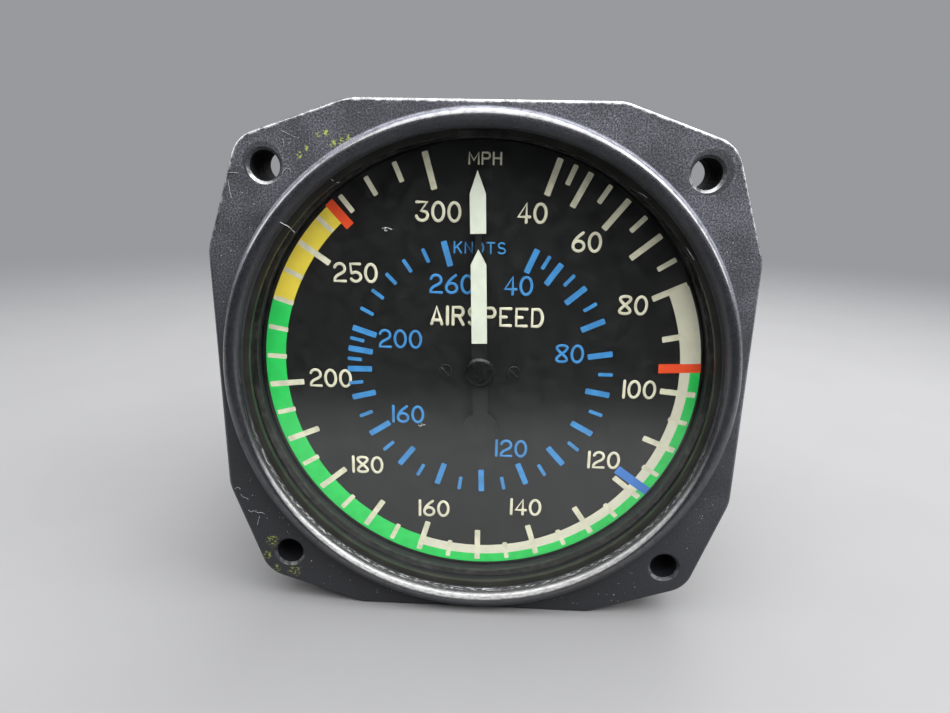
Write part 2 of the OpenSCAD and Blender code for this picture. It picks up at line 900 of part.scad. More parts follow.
// Screw with a bearing hole in its end, across one ear
module pivot_screw(x0, x1, hole0, hole1) {
  difference() {
    cross_rod(x0, x1, rock_y, rock_z, pivot_screw_r);
    cross_rod(hole0, hole1, rock_y, rock_z, rock_pivot_r + pivot_clear);
  }
}

module rocking_pivots() {
  left = shaft_left - end_float;
  right = shaft_right + end_float;
  color("orange") {
    pivot_screw(left - pivot_screw_len, left, left - pivot_hole, left + 1);
    pivot_screw(right, right + pivot_screw_len, right - 1, right + pivot_hole);
  }
}

// Outer and inner line of a corrugated shell: side is -1 for the front shell, 1 for the rear one
function shell_line(side, lift) =
  [for (i = [0:48]) let (u = i / 48) [disc_r + (flat_r - disc_r) * u, rim_y + side * (shell_h(u) + lift)]];
function reversed(v) = [for (i = [len(v) - 1:-1:0]) v[i]];

module diaphragm(side, hole_r) {
  revolve() polygon(concat(
    [[hole_r, rim_y + side * (dome + shell_t)]],
    shell_line(side, shell_t),
    [[capsule_r, rim_y + side * shell_t], [capsule_r, rim_y]],
    reversed(shell_line(side, 0)),
    [[hole_r, rim_y + side * dome]]
  ));
}

module front_diaphragm() {
  color("peru") diaphragm(-1, 0);
}

module rear_diaphragm() {
  color("peru") diaphragm(1, pipe_bore_r);
}

module capsule_post() {
  color("lightsteelblue") revolve() polygon(concat(
    [for (p = arc(0, 0, ball_r, 90, 0, 8)) [p[0], ball_y - p[1]]],
    [[ball_r, capsule_front - post_foot], [disc_r - 0.5, capsule_front - post_foot]],
    [[disc_r - 0.5, capsule_front], [0, capsule_front]]
  ));
}

module capsule_stud() {
  color("gold") difference() {
    revolve() polygon([
      [0, capsule_rear], [disc_r - 0.2, capsule_rear], [disc_r - 0.2, capsule_rear + 0.8],
      [stud_hub_r, capsule_rear + 0.8], [stud_hub_r, bridge_y], [stud_r, bridge_y],
      [stud_r, stud_end], [0, stud_end]
    ]);
    rod(0, 0, capsule_rear - 1, stud_end + 1, pipe_bore_r);
    rod(0, 0, stud_end - pipe_seat, stud_end + 1, pipe_r);
  }
}

module capsule_nut() {
  color("gold") slab(bridge_end, bridge_end + nut_t) difference() {
    circle(r = nut_w / 2 / cos(30), $fn = 6);
    circle(r = stud_r);
  }
}

module capsule_bridge() {
  color("darkkhaki") slab(bridge_y, bridge_end) difference() {
    circle(r = bridge_r);
    circle(r = stud_r + fit_clear);
    for (a = pillar_angles) rotate(a) translate([pillar_circle, 0]) circle(r = small_screw_r + screw_clear);
    for (a = mount_angles) rotate(a) translate([mount_circle, 0]) circle(r = screw_r);
    plate_windows(mount_angles);
  }
}

module rear_posts() {
  color("goldenrod") on_circle(pillar_circle, pillar_angles) difference() {
    union() {
      rod(0, 0, rear_end, bridge_y, pillar_r - 0.3);
      rod(0, 0, rear_y - spigot_len + spigot_gap, rear_end + eps, post_spigot_r);
    }
    rod(0, 0, bridge_y - spigot_len, bridge_y + 1, small_screw_r);
  }
}

module post_screws() {
  color("silver") on_circle(pillar_circle, pillar_angles)
    translate([0, bridge_end, 0]) rotate([0, 0, 180])
      slotted_screw(small_head_r, small_head_h, small_screw_r, bridge_t + spigot_len - spigot_gap, 70);
}

// Quarter of a bent pipe in the plane of X and Y
module pipe_bend(x, y, start) {
  translate([x, y, 0]) rotate([0, 0, start]) rotate_extrude(angle = 90)
    translate([bend_r, 0]) difference() {
      circle(r = pipe_r);
      circle(r = pipe_bore_r);
    }
}

// Straight piece of pipe along the depth, in the plane of the bends
module pipe_straight(x, y0, y1) {
  difference() {
    rod(x, 0, y0, y1, pipe_r);
    rod(x, 0, y0 - 1, y1 + 1, pipe_bore_r);
  }
}

module pitot_pipe() {
  first_y = pipe_run_y - bend_r;
  color("chocolate") {
    pipe_straight(0, stud_end - pipe_seat, first_y);
    pipe_bend(bend_r, first_y, 90);
    difference() {
      cross_rod(bend_r, port_x - bend_r, pipe_run_y, 0, pipe_r);
      cross_rod(bend_r - 1, port_x - bend_r + 1, pipe_run_y, 0, pipe_bore_r);
    }
    pipe_bend(port_x - bend_r, pipe_run_y + bend_r, 270);
    pipe_straight(port_x, pipe_run_y + bend_r, port_floor);
  }
}

module mounting_screws() {
  color("silver") on_circle(mount_circle, mount_angles)
    translate([0, depth + washer_t, 0]) rotate([0, 0, 180])
      slotted_screw(screw_head_r, screw_head_h, screw_r, depth + washer_t - bridge_y - spigot_gap, 30);
}

module sealing_washers() {
  color("black") on_circle(mount_circle, mount_angles) difference() {
    rod(0, 0, depth, depth + washer_t, washer_r);
    rod(0, 0, depth - 1, depth + washer_t + 1, screw_r);
  }
}

case();
retaining_ring();
cover_glass();
glass_gasket();
dial();
mph_scale();
knots_scale();
white_arc();
green_arc();
yellow_arc();
red_lines();
blue_line();
dial_screws();
pointer();
pointer_paint();
pointer_hub();
front_plate();
rear_plate();
pillars();
pillar_screws();
hand_staff();
pinion();
hairspring_collet();
hairspring();
hairspring_stud();
staff_bushes();
sector_gear();
sector_arbor();
sector_collet();
sector_bushes();
rocking_shaft();
input_arm();
output_finger();
rocking_pivots();
front_diaphragm();
rear_diaphragm();
capsule_post();
capsule_stud();
capsule_nut();
capsule_bridge();
rear_posts();
post_screws();
pitot_pipe();
mounting_screws();
sealing_washers();
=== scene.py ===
"""Dresses the airspeed indicator: case, glass, dial print, pointer and movement around the frame."""
import json
import logging
import math
import random
from dataclasses import dataclass, field
from enum import Enum
from typing import Any, Iterable, Mapping, Sequence

import bmesh
import bpy
from mathutils import Matrix, Vector


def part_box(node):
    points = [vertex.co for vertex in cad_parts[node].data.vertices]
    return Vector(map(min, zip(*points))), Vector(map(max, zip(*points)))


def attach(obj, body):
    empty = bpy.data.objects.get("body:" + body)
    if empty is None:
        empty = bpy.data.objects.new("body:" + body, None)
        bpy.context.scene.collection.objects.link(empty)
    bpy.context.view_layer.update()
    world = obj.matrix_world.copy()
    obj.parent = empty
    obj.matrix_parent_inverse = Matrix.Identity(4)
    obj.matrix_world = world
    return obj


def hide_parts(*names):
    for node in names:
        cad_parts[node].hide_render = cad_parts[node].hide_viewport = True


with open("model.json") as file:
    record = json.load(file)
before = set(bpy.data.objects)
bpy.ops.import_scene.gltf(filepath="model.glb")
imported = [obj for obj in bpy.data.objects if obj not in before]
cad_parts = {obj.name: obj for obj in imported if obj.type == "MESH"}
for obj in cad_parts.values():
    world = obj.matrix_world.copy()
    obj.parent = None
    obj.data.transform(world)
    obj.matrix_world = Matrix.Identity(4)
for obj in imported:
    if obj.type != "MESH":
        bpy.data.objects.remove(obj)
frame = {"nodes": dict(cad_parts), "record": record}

log = logging.getLogger("airspeed_indicator")

MM = 0.001
MERGE = 1e-7
SAME = 1e-9
AXIS = (0.0, 1.0, 0.0)

Colour = tuple[float, float, float]
Place = tuple[float, float, float]
Point = tuple[float, float]
Stroke = list[tuple[Vector, float]]


class Body(str, Enum):
    """Bodies of the frame that new pieces ride on."""

    HOUSING = "housing"


class Slot(str, Enum):
    """Material slots of the record, given with each new piece."""

    CASE = "case_paint"
    CREAM = "cream_print"
    BLUE = "knots_print"
    STEEL = "black_steel"


class Wear(Enum):
    """How far the case's paint is rubbed off, with painted highlights on rubbed places and painted shade on
    the hole walls; the value is the place of that finish on the casting.
    """

    FACE = 0
    EDGE = 1
    MOUTH = 2
    SHADED_BORE = 3


def arc(cx: float, cy: float, rx: float, ry: float, start: float, stop: float, steps: int) -> list[Point]:
    """Points along part of an ellipse.

    Args:
        cx: Centre, first coordinate.
        cy: Centre, second coordinate.
        rx: Half axis along the first coordinate.
        ry: Half axis along the second coordinate.
        start: First angle in degrees.
        stop: Last angle in degrees.
        steps: Number of stretches.

    Returns:
        The points, both ends included.
    """
    angles = [math.radians(start + (stop - start) * i / steps) for i in range(steps + 1)]
    return [(cx + rx * math.cos(a), cy + ry * math.sin(a)) for a in angles]


def closed_up(mesh: bmesh.types.BMesh) -> bmesh.types.BMesh:
    """Merges doubled points, drops empty faces and turns the faces outwards.

    Args:
        mesh: The shape to clean, which is changed in place.

    Returns:
        The same shape.
    """
    bmesh.ops.remove_doubles(mesh, verts=mesh.verts[:], dist=MERGE)
    bmesh.ops.dissolve_degenerate(mesh, edges=mesh.edges[:], dist=MERGE)
    bmesh.ops.recalc_face_normals(mesh, faces=mesh.faces[:])
    return mesh


def turned(section: Sequence[Point], steps: int, ring: bool = False) -> bmesh.types.BMesh:
    """Turns a section about the dial's axis.

    Args:
        section: Points as radius and depth, in metres.
        steps: Number of steps around.
        ring: True if the section closes on itself.

    Returns:
        The turned shape.
    """
    mesh = bmesh.new()
    verts = [mesh.verts.new((r, y, 0.0)) for r, y in section]
    edges = [mesh.edges.new(pair) for pair in zip(verts, verts[1:])]
    if ring:
        edges.append(mesh.edges.new((verts[-1], verts[0])))
    bmesh.ops.spin(
        mesh, geom=verts + edges, cent=(0, 0, 0), axis=AXIS, angle=2 * math.pi, steps=steps, use_merge=True
    )
    return closed_up(mesh)


def moved(mesh: bmesh.types.BMesh, x: float, y: float, z: float) -> bmesh.types.BMesh:
    """Shifts a shape and hands it back."""
    bmesh.ops.translate(mesh, verts=mesh.verts[:], vec=(x, y, z))
    return mesh


def gathered(shapes: Iterable[bmesh.types.BMesh]) -> bmesh.types.BMesh:
    """Puts several shapes into one.

    Args:
        shapes: The shapes, which are used up.

    Returns:
        One shape that holds them all.
    """
    whole = bmesh.new()
    for shape in shapes:
        part = bpy.data.meshes.new("part")
        shape.to_mesh(part)
        shape.free()
        whole.from_mesh(part)
        bpy.data.meshes.remove(part)
    return whole


def placed(name: str, shape: bmesh.types.BMesh) -> bpy.types.Object:
    """Makes an object of a shape and links it to the scene.

    Args:
        name: Name of the object.
        shape: The shape, which is used up.

    Returns:
        The new object, at the origin.
    """
    mesh = bpy.data.meshes.new(name)
    shape.to_mesh(mesh)
    shape.free()
    return linked(name, mesh)


def carved(base: bpy.types.Object, tools: Sequence[tuple[str, bpy.types.Object]]) -> bpy.types.Mesh:
    """Joins a solid with others or cuts them out of it, one after another.

    Args:
        base: The solid to start from, which is used up.
        tools: Boolean operation and solid of each step, which are used up.

    Returns:
        The finished mesh.
    """
    for operation, tool in tools:
        step = base.modifiers.new(operation.lower(), "BOOLEAN")
        step.operation = operation
        step.solver = "EXACT"
        step.material_mode = "INDEX"
        step.object = tool
    graph = bpy.context.evaluated_depsgraph_get()
    mesh = bpy.data.meshes.new_from_object(base.evaluated_get(graph))
    for thing in (base, *(tool for _, tool in tools)):
        bpy.data.objects.remove(thing)
    shape = bmesh.new()
    shape.from_mesh(mesh)
    closed_up(shape).to_mesh(mesh)
    shape.free()
    return mesh


def soften(thing: bpy.types.Object, angle: float = 32.0) -> None:
    """Shades a piece smooth up to an angle and keeps its flat faces flat.

    Args:
        thing: The piece.
        angle: Largest angle in degrees that is shaded smooth.
    """
    thing.data.shade_smooth()
    thing.data.set_sharp_from_angle(angle=math.radians(angle))
    flat = thing.modifiers.new("flat_faces", "WEIGHTED_NORMAL")
    flat.keep_sharp = True


def drawn(
    name: str, strokes: Iterable[Stroke], radius: float, sides: int, curved: bool = False
) -> bpy.types.Mesh:
    """Draws round strokes along lines; a line that ends where it starts is closed.

    Args:
        name: Name of the mesh.
        strokes: Points of each stroke, with their share of its thickness.
        radius: Half the thickness.
        sides: Extra steps of each quarter around a stroke.
        curved: True if the points only guide the line.

    Returns:
        The strokes as one mesh.
    """
    curve = bpy.data.curves.new(name, "CURVE")
    curve.dimensions = "3D"
    curve.bevel_depth = radius
    curve.bevel_resolution = sides
    curve.use_fill_caps = True
    for stroke in strokes:
        loop = (stroke[0][0] - stroke[-1][0]).length < SAME
        points = stroke[:-1] if loop else stroke
        spline = curve.splines.new("NURBS" if curved else "POLY")
        spline.points.add(len(points) - 1)
        for target, (place, share) in zip(spline.points, points):
            target.co = (*place, 1.0)
            target.radius = share
        spline.use_cyclic_u = loop
        spline.use_endpoint_u = True
        spline.order_u = 3
    holder = bpy.data.objects.new(name, curve)
    bpy.context.scene.collection.objects.link(holder)
    graph = bpy.context.evaluated_depsgraph_get()
    mesh = bpy.data.meshes.new_from_object(holder.evaluated_get(graph))
    bpy.data.objects.remove(holder)
    mesh.shade_smooth()
    return mesh


def linked(name: str, mesh: bpy.types.Mesh) -> bpy.types.Object:
    """Makes an object of a mesh and links it to the scene.

    Args:
        name: Name of the object.
        mesh: The mesh.

    Returns:
        The new object, at the origin.
    """
    thing = bpy.data.objects.new(name, mesh)
    bpy.context.scene.collection.objects.link(thing)
    return thing


def mount(name: str) -> Mapping[str, Any]:
    """The record's mount of that name."""
    return next(m for m in frame["record"]["mounts"] if m["name"] == name)


class Wire:
    """One socket of a material, with arithmetic that adds Math nodes."""

    def __init__(self, recipe: "Recipe", socket: bpy.types.NodeSocket) -> None:
        """Keeps the recipe and the socket."""
        self.recipe = recipe
        self.socket = socket

    def _math(self, operation: str, *values: "Wire | float") -> "Wire":
        """Adds one Math node.

        Args:
            operation: The node's operation.
            values: Its inputs in order.

        Returns:
            The node's result.
        """
        return self.recipe.add("ShaderNodeMath", {"operation": operation}, dict(enumerate(values)))

    def __add__(self, other: "Wire | float") -> "Wire":
        """Sum."""
        return self._math("ADD", self, other)

    __radd__ = __add__

    def __sub__(self, other: "Wire | float") -> "Wire":
        """Difference."""
        return self._math("SUBTRACT", self, other)

    def __rsub__(self, other: "Wire | float") -> "Wire":
        """Difference the other way round."""
        return self._math("SUBTRACT", other, self)

    def __mul__(self, other: "Wire | float") -> "Wire":
        """Product."""
        return self._math("MULTIPLY", self, other)

    __rmul__ = __mul__

    def __truediv__(self, other: "Wire | float") -> "Wire":
        """Quotient."""
        return self._math("DIVIDE", self, other)

    def __pow__(self, other: "Wire | float") -> "Wire":
        """Power."""
        return self._math("POWER", self, other)

    def turn(self, other: "Wire | float") -> "Wire":
        """Angle of the direction that this value and another one make, in radians."""
        return self._math("ARCTAN2", self, other)

    def ramp(self, low: float, high: float) -> "Wire":
        """Goes smoothly from 0 at low to 1 at high.

        Args:
            low: Value that gives 0.
            high: Value that gives 1; it may be the smaller one.

        Returns:
            The mask.
        """
        settings = {"interpolation_type": "SMOOTHSTEP"}
        return self.recipe.add("ShaderNodeMapRange", settings, {0: self, 1: low, 2: high})


class Recipe:
    """Node tree of one material."""

    def __init__(self, name: str) -> None:
        """Starts an empty material.

        Args:
            name: Name of the material.
        """
        self.material = bpy.data.materials.new(name)
        self.material.use_nodes = True
        self.tree = self.material.node_tree
        self.tree.nodes.clear()

    def add(
        self,
        kind: str,
        settings: Mapping[str, Any] | None = None,
        sockets: Mapping[int | str, Any] | None = None,
        output: int | str = 0,
    ) -> Wire:
        """Adds one node.

        Args:
            kind: The node's type.
            settings: Properties that are set first.
            sockets: Values or wires of its inputs, by name or place.
            output: The output to hand back.

        Returns:
            That output.
        """
        node = self.tree.nodes.new(kind)
        for key, value in (settings or {}).items():
            setattr(node, key, value)
        for key, value in (sockets or {}).items():
            if isinstance(value, Wire):
                self.tree.links.new(value.socket, node.inputs[key])
            else:
                node.inputs[key].default_value = value
        return Wire(self, node.outputs[output] if node.outputs else node.inputs[0])

    def place(self) -> Wire:
        """Position on the piece, in metres."""
        return self.add("ShaderNodeTexCoord", output="Object")

    def split(self, vector: Wire) -> tuple[Wire, Wire, Wire]:
        """The three parts of a vector."""
        node = self.add("ShaderNodeSeparateXYZ", None, {0: vector}).socket.node
        return Wire(self, node.outputs[0]), Wire(self, node.outputs[1]), Wire(self, node.outputs[2])

    def join(self, *parts: Wire | float) -> Wire:
        """A vector made of three values."""
        return self.add("ShaderNodeCombineXYZ", None, dict(enumerate(parts)))

    def noise(
        self, size: float, detail: float = 3.0, stretch: Vector | None = None, place: Wire | None = None
    ) -> Wire:
        """Cloudy pattern around 0.5.

        Args:
            size: Size of its blotches in metres.
            detail: Number of finer layers.
            stretch: Factor along each axis.
            place: Coordinates to use in place of the position on the piece.

        Returns:
            The pattern's value.
        """
        vector = place or self.place()
        if stretch is not None:
            vector = self.add("ShaderNodeVectorMath", {"operation": "MULTIPLY"}, {0: vector, 1: stretch})
        inputs = {"Vector": vector, "Scale": 1.0 / size, "Detail": detail}
        return self.add("ShaderNodeTexNoise", None, inputs)

    def distance(self, centre: Vector) -> Wire:
        """Distance from a point, in metres."""
        sockets = {0: self.place(), 1: centre}
        return self.add("ShaderNodeVectorMath", {"operation": "DISTANCE"}, sockets, "Value")

    def mix(self, factor: Wire, first: Wire | Colour, second: Wire | Colour) -> Wire:
        """Blends two colours.

        Args:
            factor: 0 for the first, 1 for the second.
            first: Colour or wire.
            second: Colour or wire.

        Returns:
            The blend.
        """
        ends = [c if isinstance(c, Wire) else (*c, 1.0) for c in (first, second)]
        return self.add("ShaderNodeMix", {"data_type": "RGBA"}, {0: factor, 6: ends[0], 7: ends[1]}, 2)

    def bump(self, height: Wire, depth: float, strength: float = 1.0) -> Wire:
        """Surface relief.

        Args:
            height: Pattern from 0 to 1.
            depth: Its full height in metres.
            strength: Share of it that shows.

        Returns:
            The bent normal.
        """
        return self.add("ShaderNodeBump", None, {"Height": height, "Distance": depth, "Strength": strength})

    def surface(self, **inputs: Any) -> bpy.types.Material:
        """Ends the tree with one surface shader.

        Args:
            inputs: Values or wires, named as the sockets with low lines for spaces.

        Returns:
            The finished material.
        """
        sockets = {key.replace("_", " "): value for key, value in inputs.items()}
        self.output(self.add("ShaderNodeBsdfPrincipled", None, sockets))
        return self.material

    def output(self, shader: Wire) -> None:
        """Joins a shader to the material's output."""
        self.add("ShaderNodeOutputMaterial", None, {"Surface": shader})


@dataclass(frozen=True)
class Site:
    """Where a point of the casting lies, and how its paint is rubbed there."""

    x: Wire
    depth: Wire
    z: Wire
    radius: Wire
    crest: Wire
    rub: Wire


@dataclass(frozen=True)
class CasePaint:
    """Rough black enamel of the casting, with bare metal where it is rubbed, painted highlights and painted
    shade.
    """

    name: str
    wear: Wear
    black: Colour = (0.007, 0.0073, 0.009)
    grey: Colour = (0.016, 0.0168, 0.021)
    # metal also serves as a painted highlight on the upper flange edges and the lower hole mouths
    metal: Colour = (0.6, 0.6, 0.6)
    # lint is the dust colour, and also colours painted highlights at the ring's upper foot and the upper
    # hole rims
    lint: Colour = (0.3, 0.312, 0.37)
    # this colours worn chips and also the painted highlight band on the lower inner crest
    chip_and_highlight: Colour = (0.42, 0.42, 0.41)
    olive: Colour = (0.27, 0.31, 0.05)
    grain: float = 0.3 * MM
    relief: float = 0.05 * MM
    crest: float = -0.6 * MM
    lip: float = 37.1 * MM
    ring_half: float = 1.25 * MM
    hole_rise: float = 31.435 * MM
    rough: float = 0.58
    grain_rough: float = 0.14
    polish: float = 0.32
    flecks: tuple[tuple[float, float, float, float], ...] = (
        (-26.2, 33.0, 0.6, 0.9), (-25.2, 33.9, 0.45, 0.9), (-23.4, 35.8, 0.5, 0.7),
        (-22.25, 36.1, 0.6, 0.9), (-21.3, 34.6, 0.65, 0.8), (-20.3, 35.0, 0.75, 0.9),
        (-19.2, 35.5, 0.65, 0.8), (-34.2, -29.5, 1.4, 0.5), (-35.4, -32.2, 1.0, 0.45),
        (-33.9, -34.7, 0.9, 0.4), (-30.9, -35.0, 1.4, 0.36),
    )
    # Middles and radii in millimetres of painted shade rings around the upper holes, each with a faint
    # painted highlight line
    prints: tuple[Place, ...] = ((-31.6, 31.85, 3.05), (31.95, 31.7, 3.3))

    def dirt(self, r: Recipe, colour: Wire, dusty: Wire) -> Wire:
        """Adds pale dust with painted light, olive flecks, and a painted shade ring with a faint painted
        highlight line around each upper hole.

        Args:
            r: The recipe.
            colour: The clean paint.
            dusty: Where dust lies, as painted light: more towards the top and the right, less on the crest
                and none deep in the holes.

        Returns:
            The dirty paint.
        """
        # painted light: the dust haze is scaled by the dusty mask, so the paint grows paler towards the top
        # and the right
        haze = r.noise(0.25 * MM, 2.0).ramp(0.36, 0.72) * 0.3 + 0.06
        colour = r.mix(dusty * haze, colour, self.lint)
        broken = r.noise(0.7 * MM, 3.0).ramp(0.48, 0.62)
        # painted shade: a dark ring around each upper hole, with a faint broken painted highlight line at
        # its edge
        for x, z, radius in self.prints:
            away = r.distance(Vector((x * MM, 0.0, z * MM)))
            colour = r.mix(away.ramp((radius + 0.1) * MM, (radius - 0.35) * MM) * 0.6, colour, self.black)
            line = away.ramp((radius + 0.2) * MM, radius * MM)
            line = line * away.ramp((radius - 0.25) * MM, radius * MM)
            colour = r.mix(line * broken * 0.2, colour, self.lint)
        strokes = r.noise(0.55 * MM, 1.0, Vector((1.0, 1.0, 1.6))).ramp(0.5, 0.58)
        for x, z, reach, share in self.flecks:
            spot = r.distance(Vector((x * MM, 0.0, z * MM))).ramp(reach * MM, 0.45 * reach * MM)
            colour = r.mix(spot * strokes * share, colour, self.olive)
        return colour

    def edge_wear_and_highlight(self, s: Site) -> tuple[Wire, Wire]:
        """Wear of the flange's edge, bare on its upper front alone, where the bare metal also serves as a
        painted highlight.

        Args:
            s: The place on the casting.

        Returns:
            How smooth it is, and how bare it is with its painted highlight.
        """
        # painted highlight: bare metal only on the upper edges, where the light from above falls
        bare = s.rub.ramp(0.44, 0.62) * s.z.ramp(14 * MM, 36 * MM) * s.depth.ramp(1.5 * MM, 0.6 * MM) * 0.4
        return s.z.ramp(-50 * MM, 34 * MM), bare

    def mouth_wear_and_highlight(self, s: Site) -> tuple[Wire, Wire]:
        """Wear of a hole's mouth, on its lower half alone, where the bare metal also serves as a painted
        highlight.

        Args:
            s: The place on the casting.

        Returns:
            How smooth and how bare it is.
        """
        # painted highlight: bare metal on the lower half of each mouth, which faces the light from above
        below = s.z.ramp(-MM, MM) * (2 * self.hole_rise) - self.hole_rise - s.z
        sill = below.ramp(-0.6 * MM, 1.6 * MM)
        share = s.z.ramp(-34 * MM, 34 * MM) * 0.22 + 0.08
        return s.z.ramp(-50 * MM, 34 * MM) * sill * 0.75, s.rub.ramp(0.42, 0.58) * share * sill

    def ring_wear_and_highlight(self, r: Recipe, s: Site) -> tuple[Wire, Wire]:
        """Wear and painted highlight of the ring: its polished crest, worn streaks low on its inside, and a
        pale painted highlight band on its lower inner crest.

        Args:
            r: The recipe.
            s: The place on the casting.

        Returns:
            How smooth and how bare it is.
        """
        lip = self.lip
        streaks = r.noise(0.9 * MM, 3.0, None, r.join(s.x.turn(s.z) * lip, s.depth * 5.0, s.radius))
        line = s.radius.ramp(lip + 0.1 * MM, lip + 0.04 * MM) * s.z.ramp(-4 * MM, -16 * MM)
        line = line * s.depth.ramp(-0.6 * MM, -0.4 * MM) * s.depth.ramp(0.35 * MM, 0.1 * MM)
        # painted highlight: a pale band on the lower inner crest, which faces the light from above
        band = (s.radius.ramp(lip, lip + 0.3 * MM) * 0.85 + 0.15) * s.crest * s.z.ramp(-4 * MM, -26 * MM)
        band = band * (s.radius + s.z * 0.016).ramp(lip + 0.3 * MM, lip)
        bare = line * streaks.ramp(0.53, 0.61) * 0.7 + band * (streaks.ramp(0.35, 0.6) * 0.25 + 0.35)
        upward = (s.radius - lip - self.ring_half) * s.z / (lip * self.ring_half)
        return s.crest * (upward.ramp(-0.35, 0.1) * 0.9 + 0.1), bare

    def root_highlight(self, s: Site) -> Wire:
        """Share of a painted highlight, in the pale dust colour, along the upper foot of the ring.

        Args:
            s: The place on the casting.

        Returns:
            The share.
        """
        # painted highlight: a pale line along the upper foot of the ring
        foot = self.lip + 2 * self.ring_half
        root = s.radius.ramp(foot - 0.6 * MM, foot - 0.2 * MM)
        root = root * s.radius.ramp(foot + 0.5 * MM, foot + 0.2 * MM)
        root = root * s.depth.ramp(0.5 * MM, 0.2 * MM) * s.z.ramp(-2 * MM, 24 * MM)
        return root * (s.rub.ramp(0.3, 0.6) * 0.3 + 0.2)

    def material(self) -> bpy.types.Material:
        """Builds the paint.

        Returns:
            The material.
        """
        r = Recipe(self.name)
        # painted shade: the hole walls are made near black, rough and almost without sheen
        if self.wear is Wear.SHADED_BORE:
            return r.surface(Base_Color=(*self.black, 1.0), Roughness=0.9, Specular_IOR_Level=0.08)
        x, depth, z = r.split(r.place())
        s = Site(x, depth, z, (x * x + z * z) ** 0.5, depth.ramp(0.0, self.crest), r.noise(1.1 * MM, 5.0))
        grain = r.noise(self.grain, 4.0)
        # painted light: lit grows towards the top and the right, fades inside the holes and on the crest,
        # and sets how much pale dust lightens the paint
        lit = (z + x * 0.3).ramp(-34 * MM, 42 * MM) * depth.ramp(1.2 * MM, 0.3 * MM) * (1.0 - s.crest * 0.8)
        dusty = (r.noise(7 * MM, 3.0).ramp(0.36, 0.62) * 0.5 + 0.5) * lit
        colour = self.dirt(r, r.mix(grain.ramp(0.35, 0.75), self.black, self.grey), dusty)
        if self.wear is Wear.FACE:
            smooth, bare = self.ring_wear_and_highlight(r, s)
            # painted highlight: the pale line at the ring's upper foot and the highlight band, mixed in
            # with the worn places
            colour = r.mix(bare, r.mix(self.root_highlight(s), colour, self.lint), self.chip_and_highlight)
            metallic: Wire | float = 0.0
        else:
            # on the upper edges and the lower hole mouths the bare metal also serves as a painted highlight
            smooth, bare = self.mouth_wear_and_highlight(s) if self.wear is Wear.MOUTH else self.edge_wear_and_highlight(s)
            colour = r.mix(bare, colour, self.metal)
            metallic = bare * 0.9
        rough = self.rough + grain.ramp(0.3, 0.8) * self.grain_rough * (1.0 - smooth) - smooth * self.polish
        height = grain * (1.0 - smooth * 0.95)
        return r.surface(
            Base_Color=colour, Roughness=rough, Metallic=metallic,
            Coat_Weight=smooth * s.rub.ramp(0.1, 0.6), Coat_Roughness=0.22, Coat_IOR=1.75,
            Normal=r.bump(height, self.relief),
        )


@dataclass(frozen=True)
class Ink:
    """Printed or sprayed colour on the dial and the pointer."""

    name: str
    colour: Colour
    shade: float = 0.8
    rough: float = 0.5

    def material(self) -> bpy.types.Material:
        """Builds the ink.

        Returns:
            The material.
        """
        r = Recipe(self.name)
        dim: Colour = tuple(c * self.shade for c in self.colour)
        cloud = r.noise(1.6 * MM, 4.0)
        grain = r.noise(0.18 * MM, 2.0)
        colour = r.mix(cloud.ramp(0.35, 0.65), dim, self.colour)
        rough = self.rough + (grain - 0.5) * 0.2
        return r.surface(Base_Color=colour, Roughness=rough, Normal=r.bump(grain, 0.01 * MM, 0.6))


@dataclass(frozen=True)
class Metal:
    """Turned, drawn or blackened metal with fine working marks."""

    name: str
    colour: Colour
    rough: float = 0.3
    metallic: float = 1.0
    marks: float = 0.5 * MM
    stretch: Place = (1.0, 1.0, 1.0)

    def material(self) -> bpy.types.Material:
        """Builds the metal.

        Returns:
            The material.
        """
        r = Recipe(self.name)
        marks = r.noise(self.marks, 4.0, Vector(self.stretch))
        cloud = r.noise(5 * MM, 3.0)
        dull: Colour = tuple(c * 0.7 for c in self.colour)
        colour = r.mix(cloud.ramp(0.35, 0.7), dull, self.colour)
        rough = self.rough + (marks - 0.5) * 0.25
        return r.surface(
            Base_Color=colour, Roughness=rough, Metallic=self.metallic, Normal=r.bump(marks, 0.01 * MM, 0.5)
        )


@dataclass(frozen=True)
class Rubber:
    """Black sealing rubber with a dusty bloom."""

    name: str
    colour: Colour = (0.016, 0.016, 0.015)
    bloom: Colour = (0.05, 0.05, 0.046)

    def material(self) -> bpy.types.Material:
        """Builds the rubber.

        Returns:
            The material.
        """
        r = Recipe(self.name)
        cloud = r.noise(1.5 * MM, 4.0)
        colour = r.mix(cloud.ramp(0.4, 0.75), self.colour, self.bloom)
        rough = 0.62 + cloud * 0.2
        return r.surface(Base_Color=colour, Roughness=rough, Normal=r.bump(cloud, 0.03 * MM, 0.5))


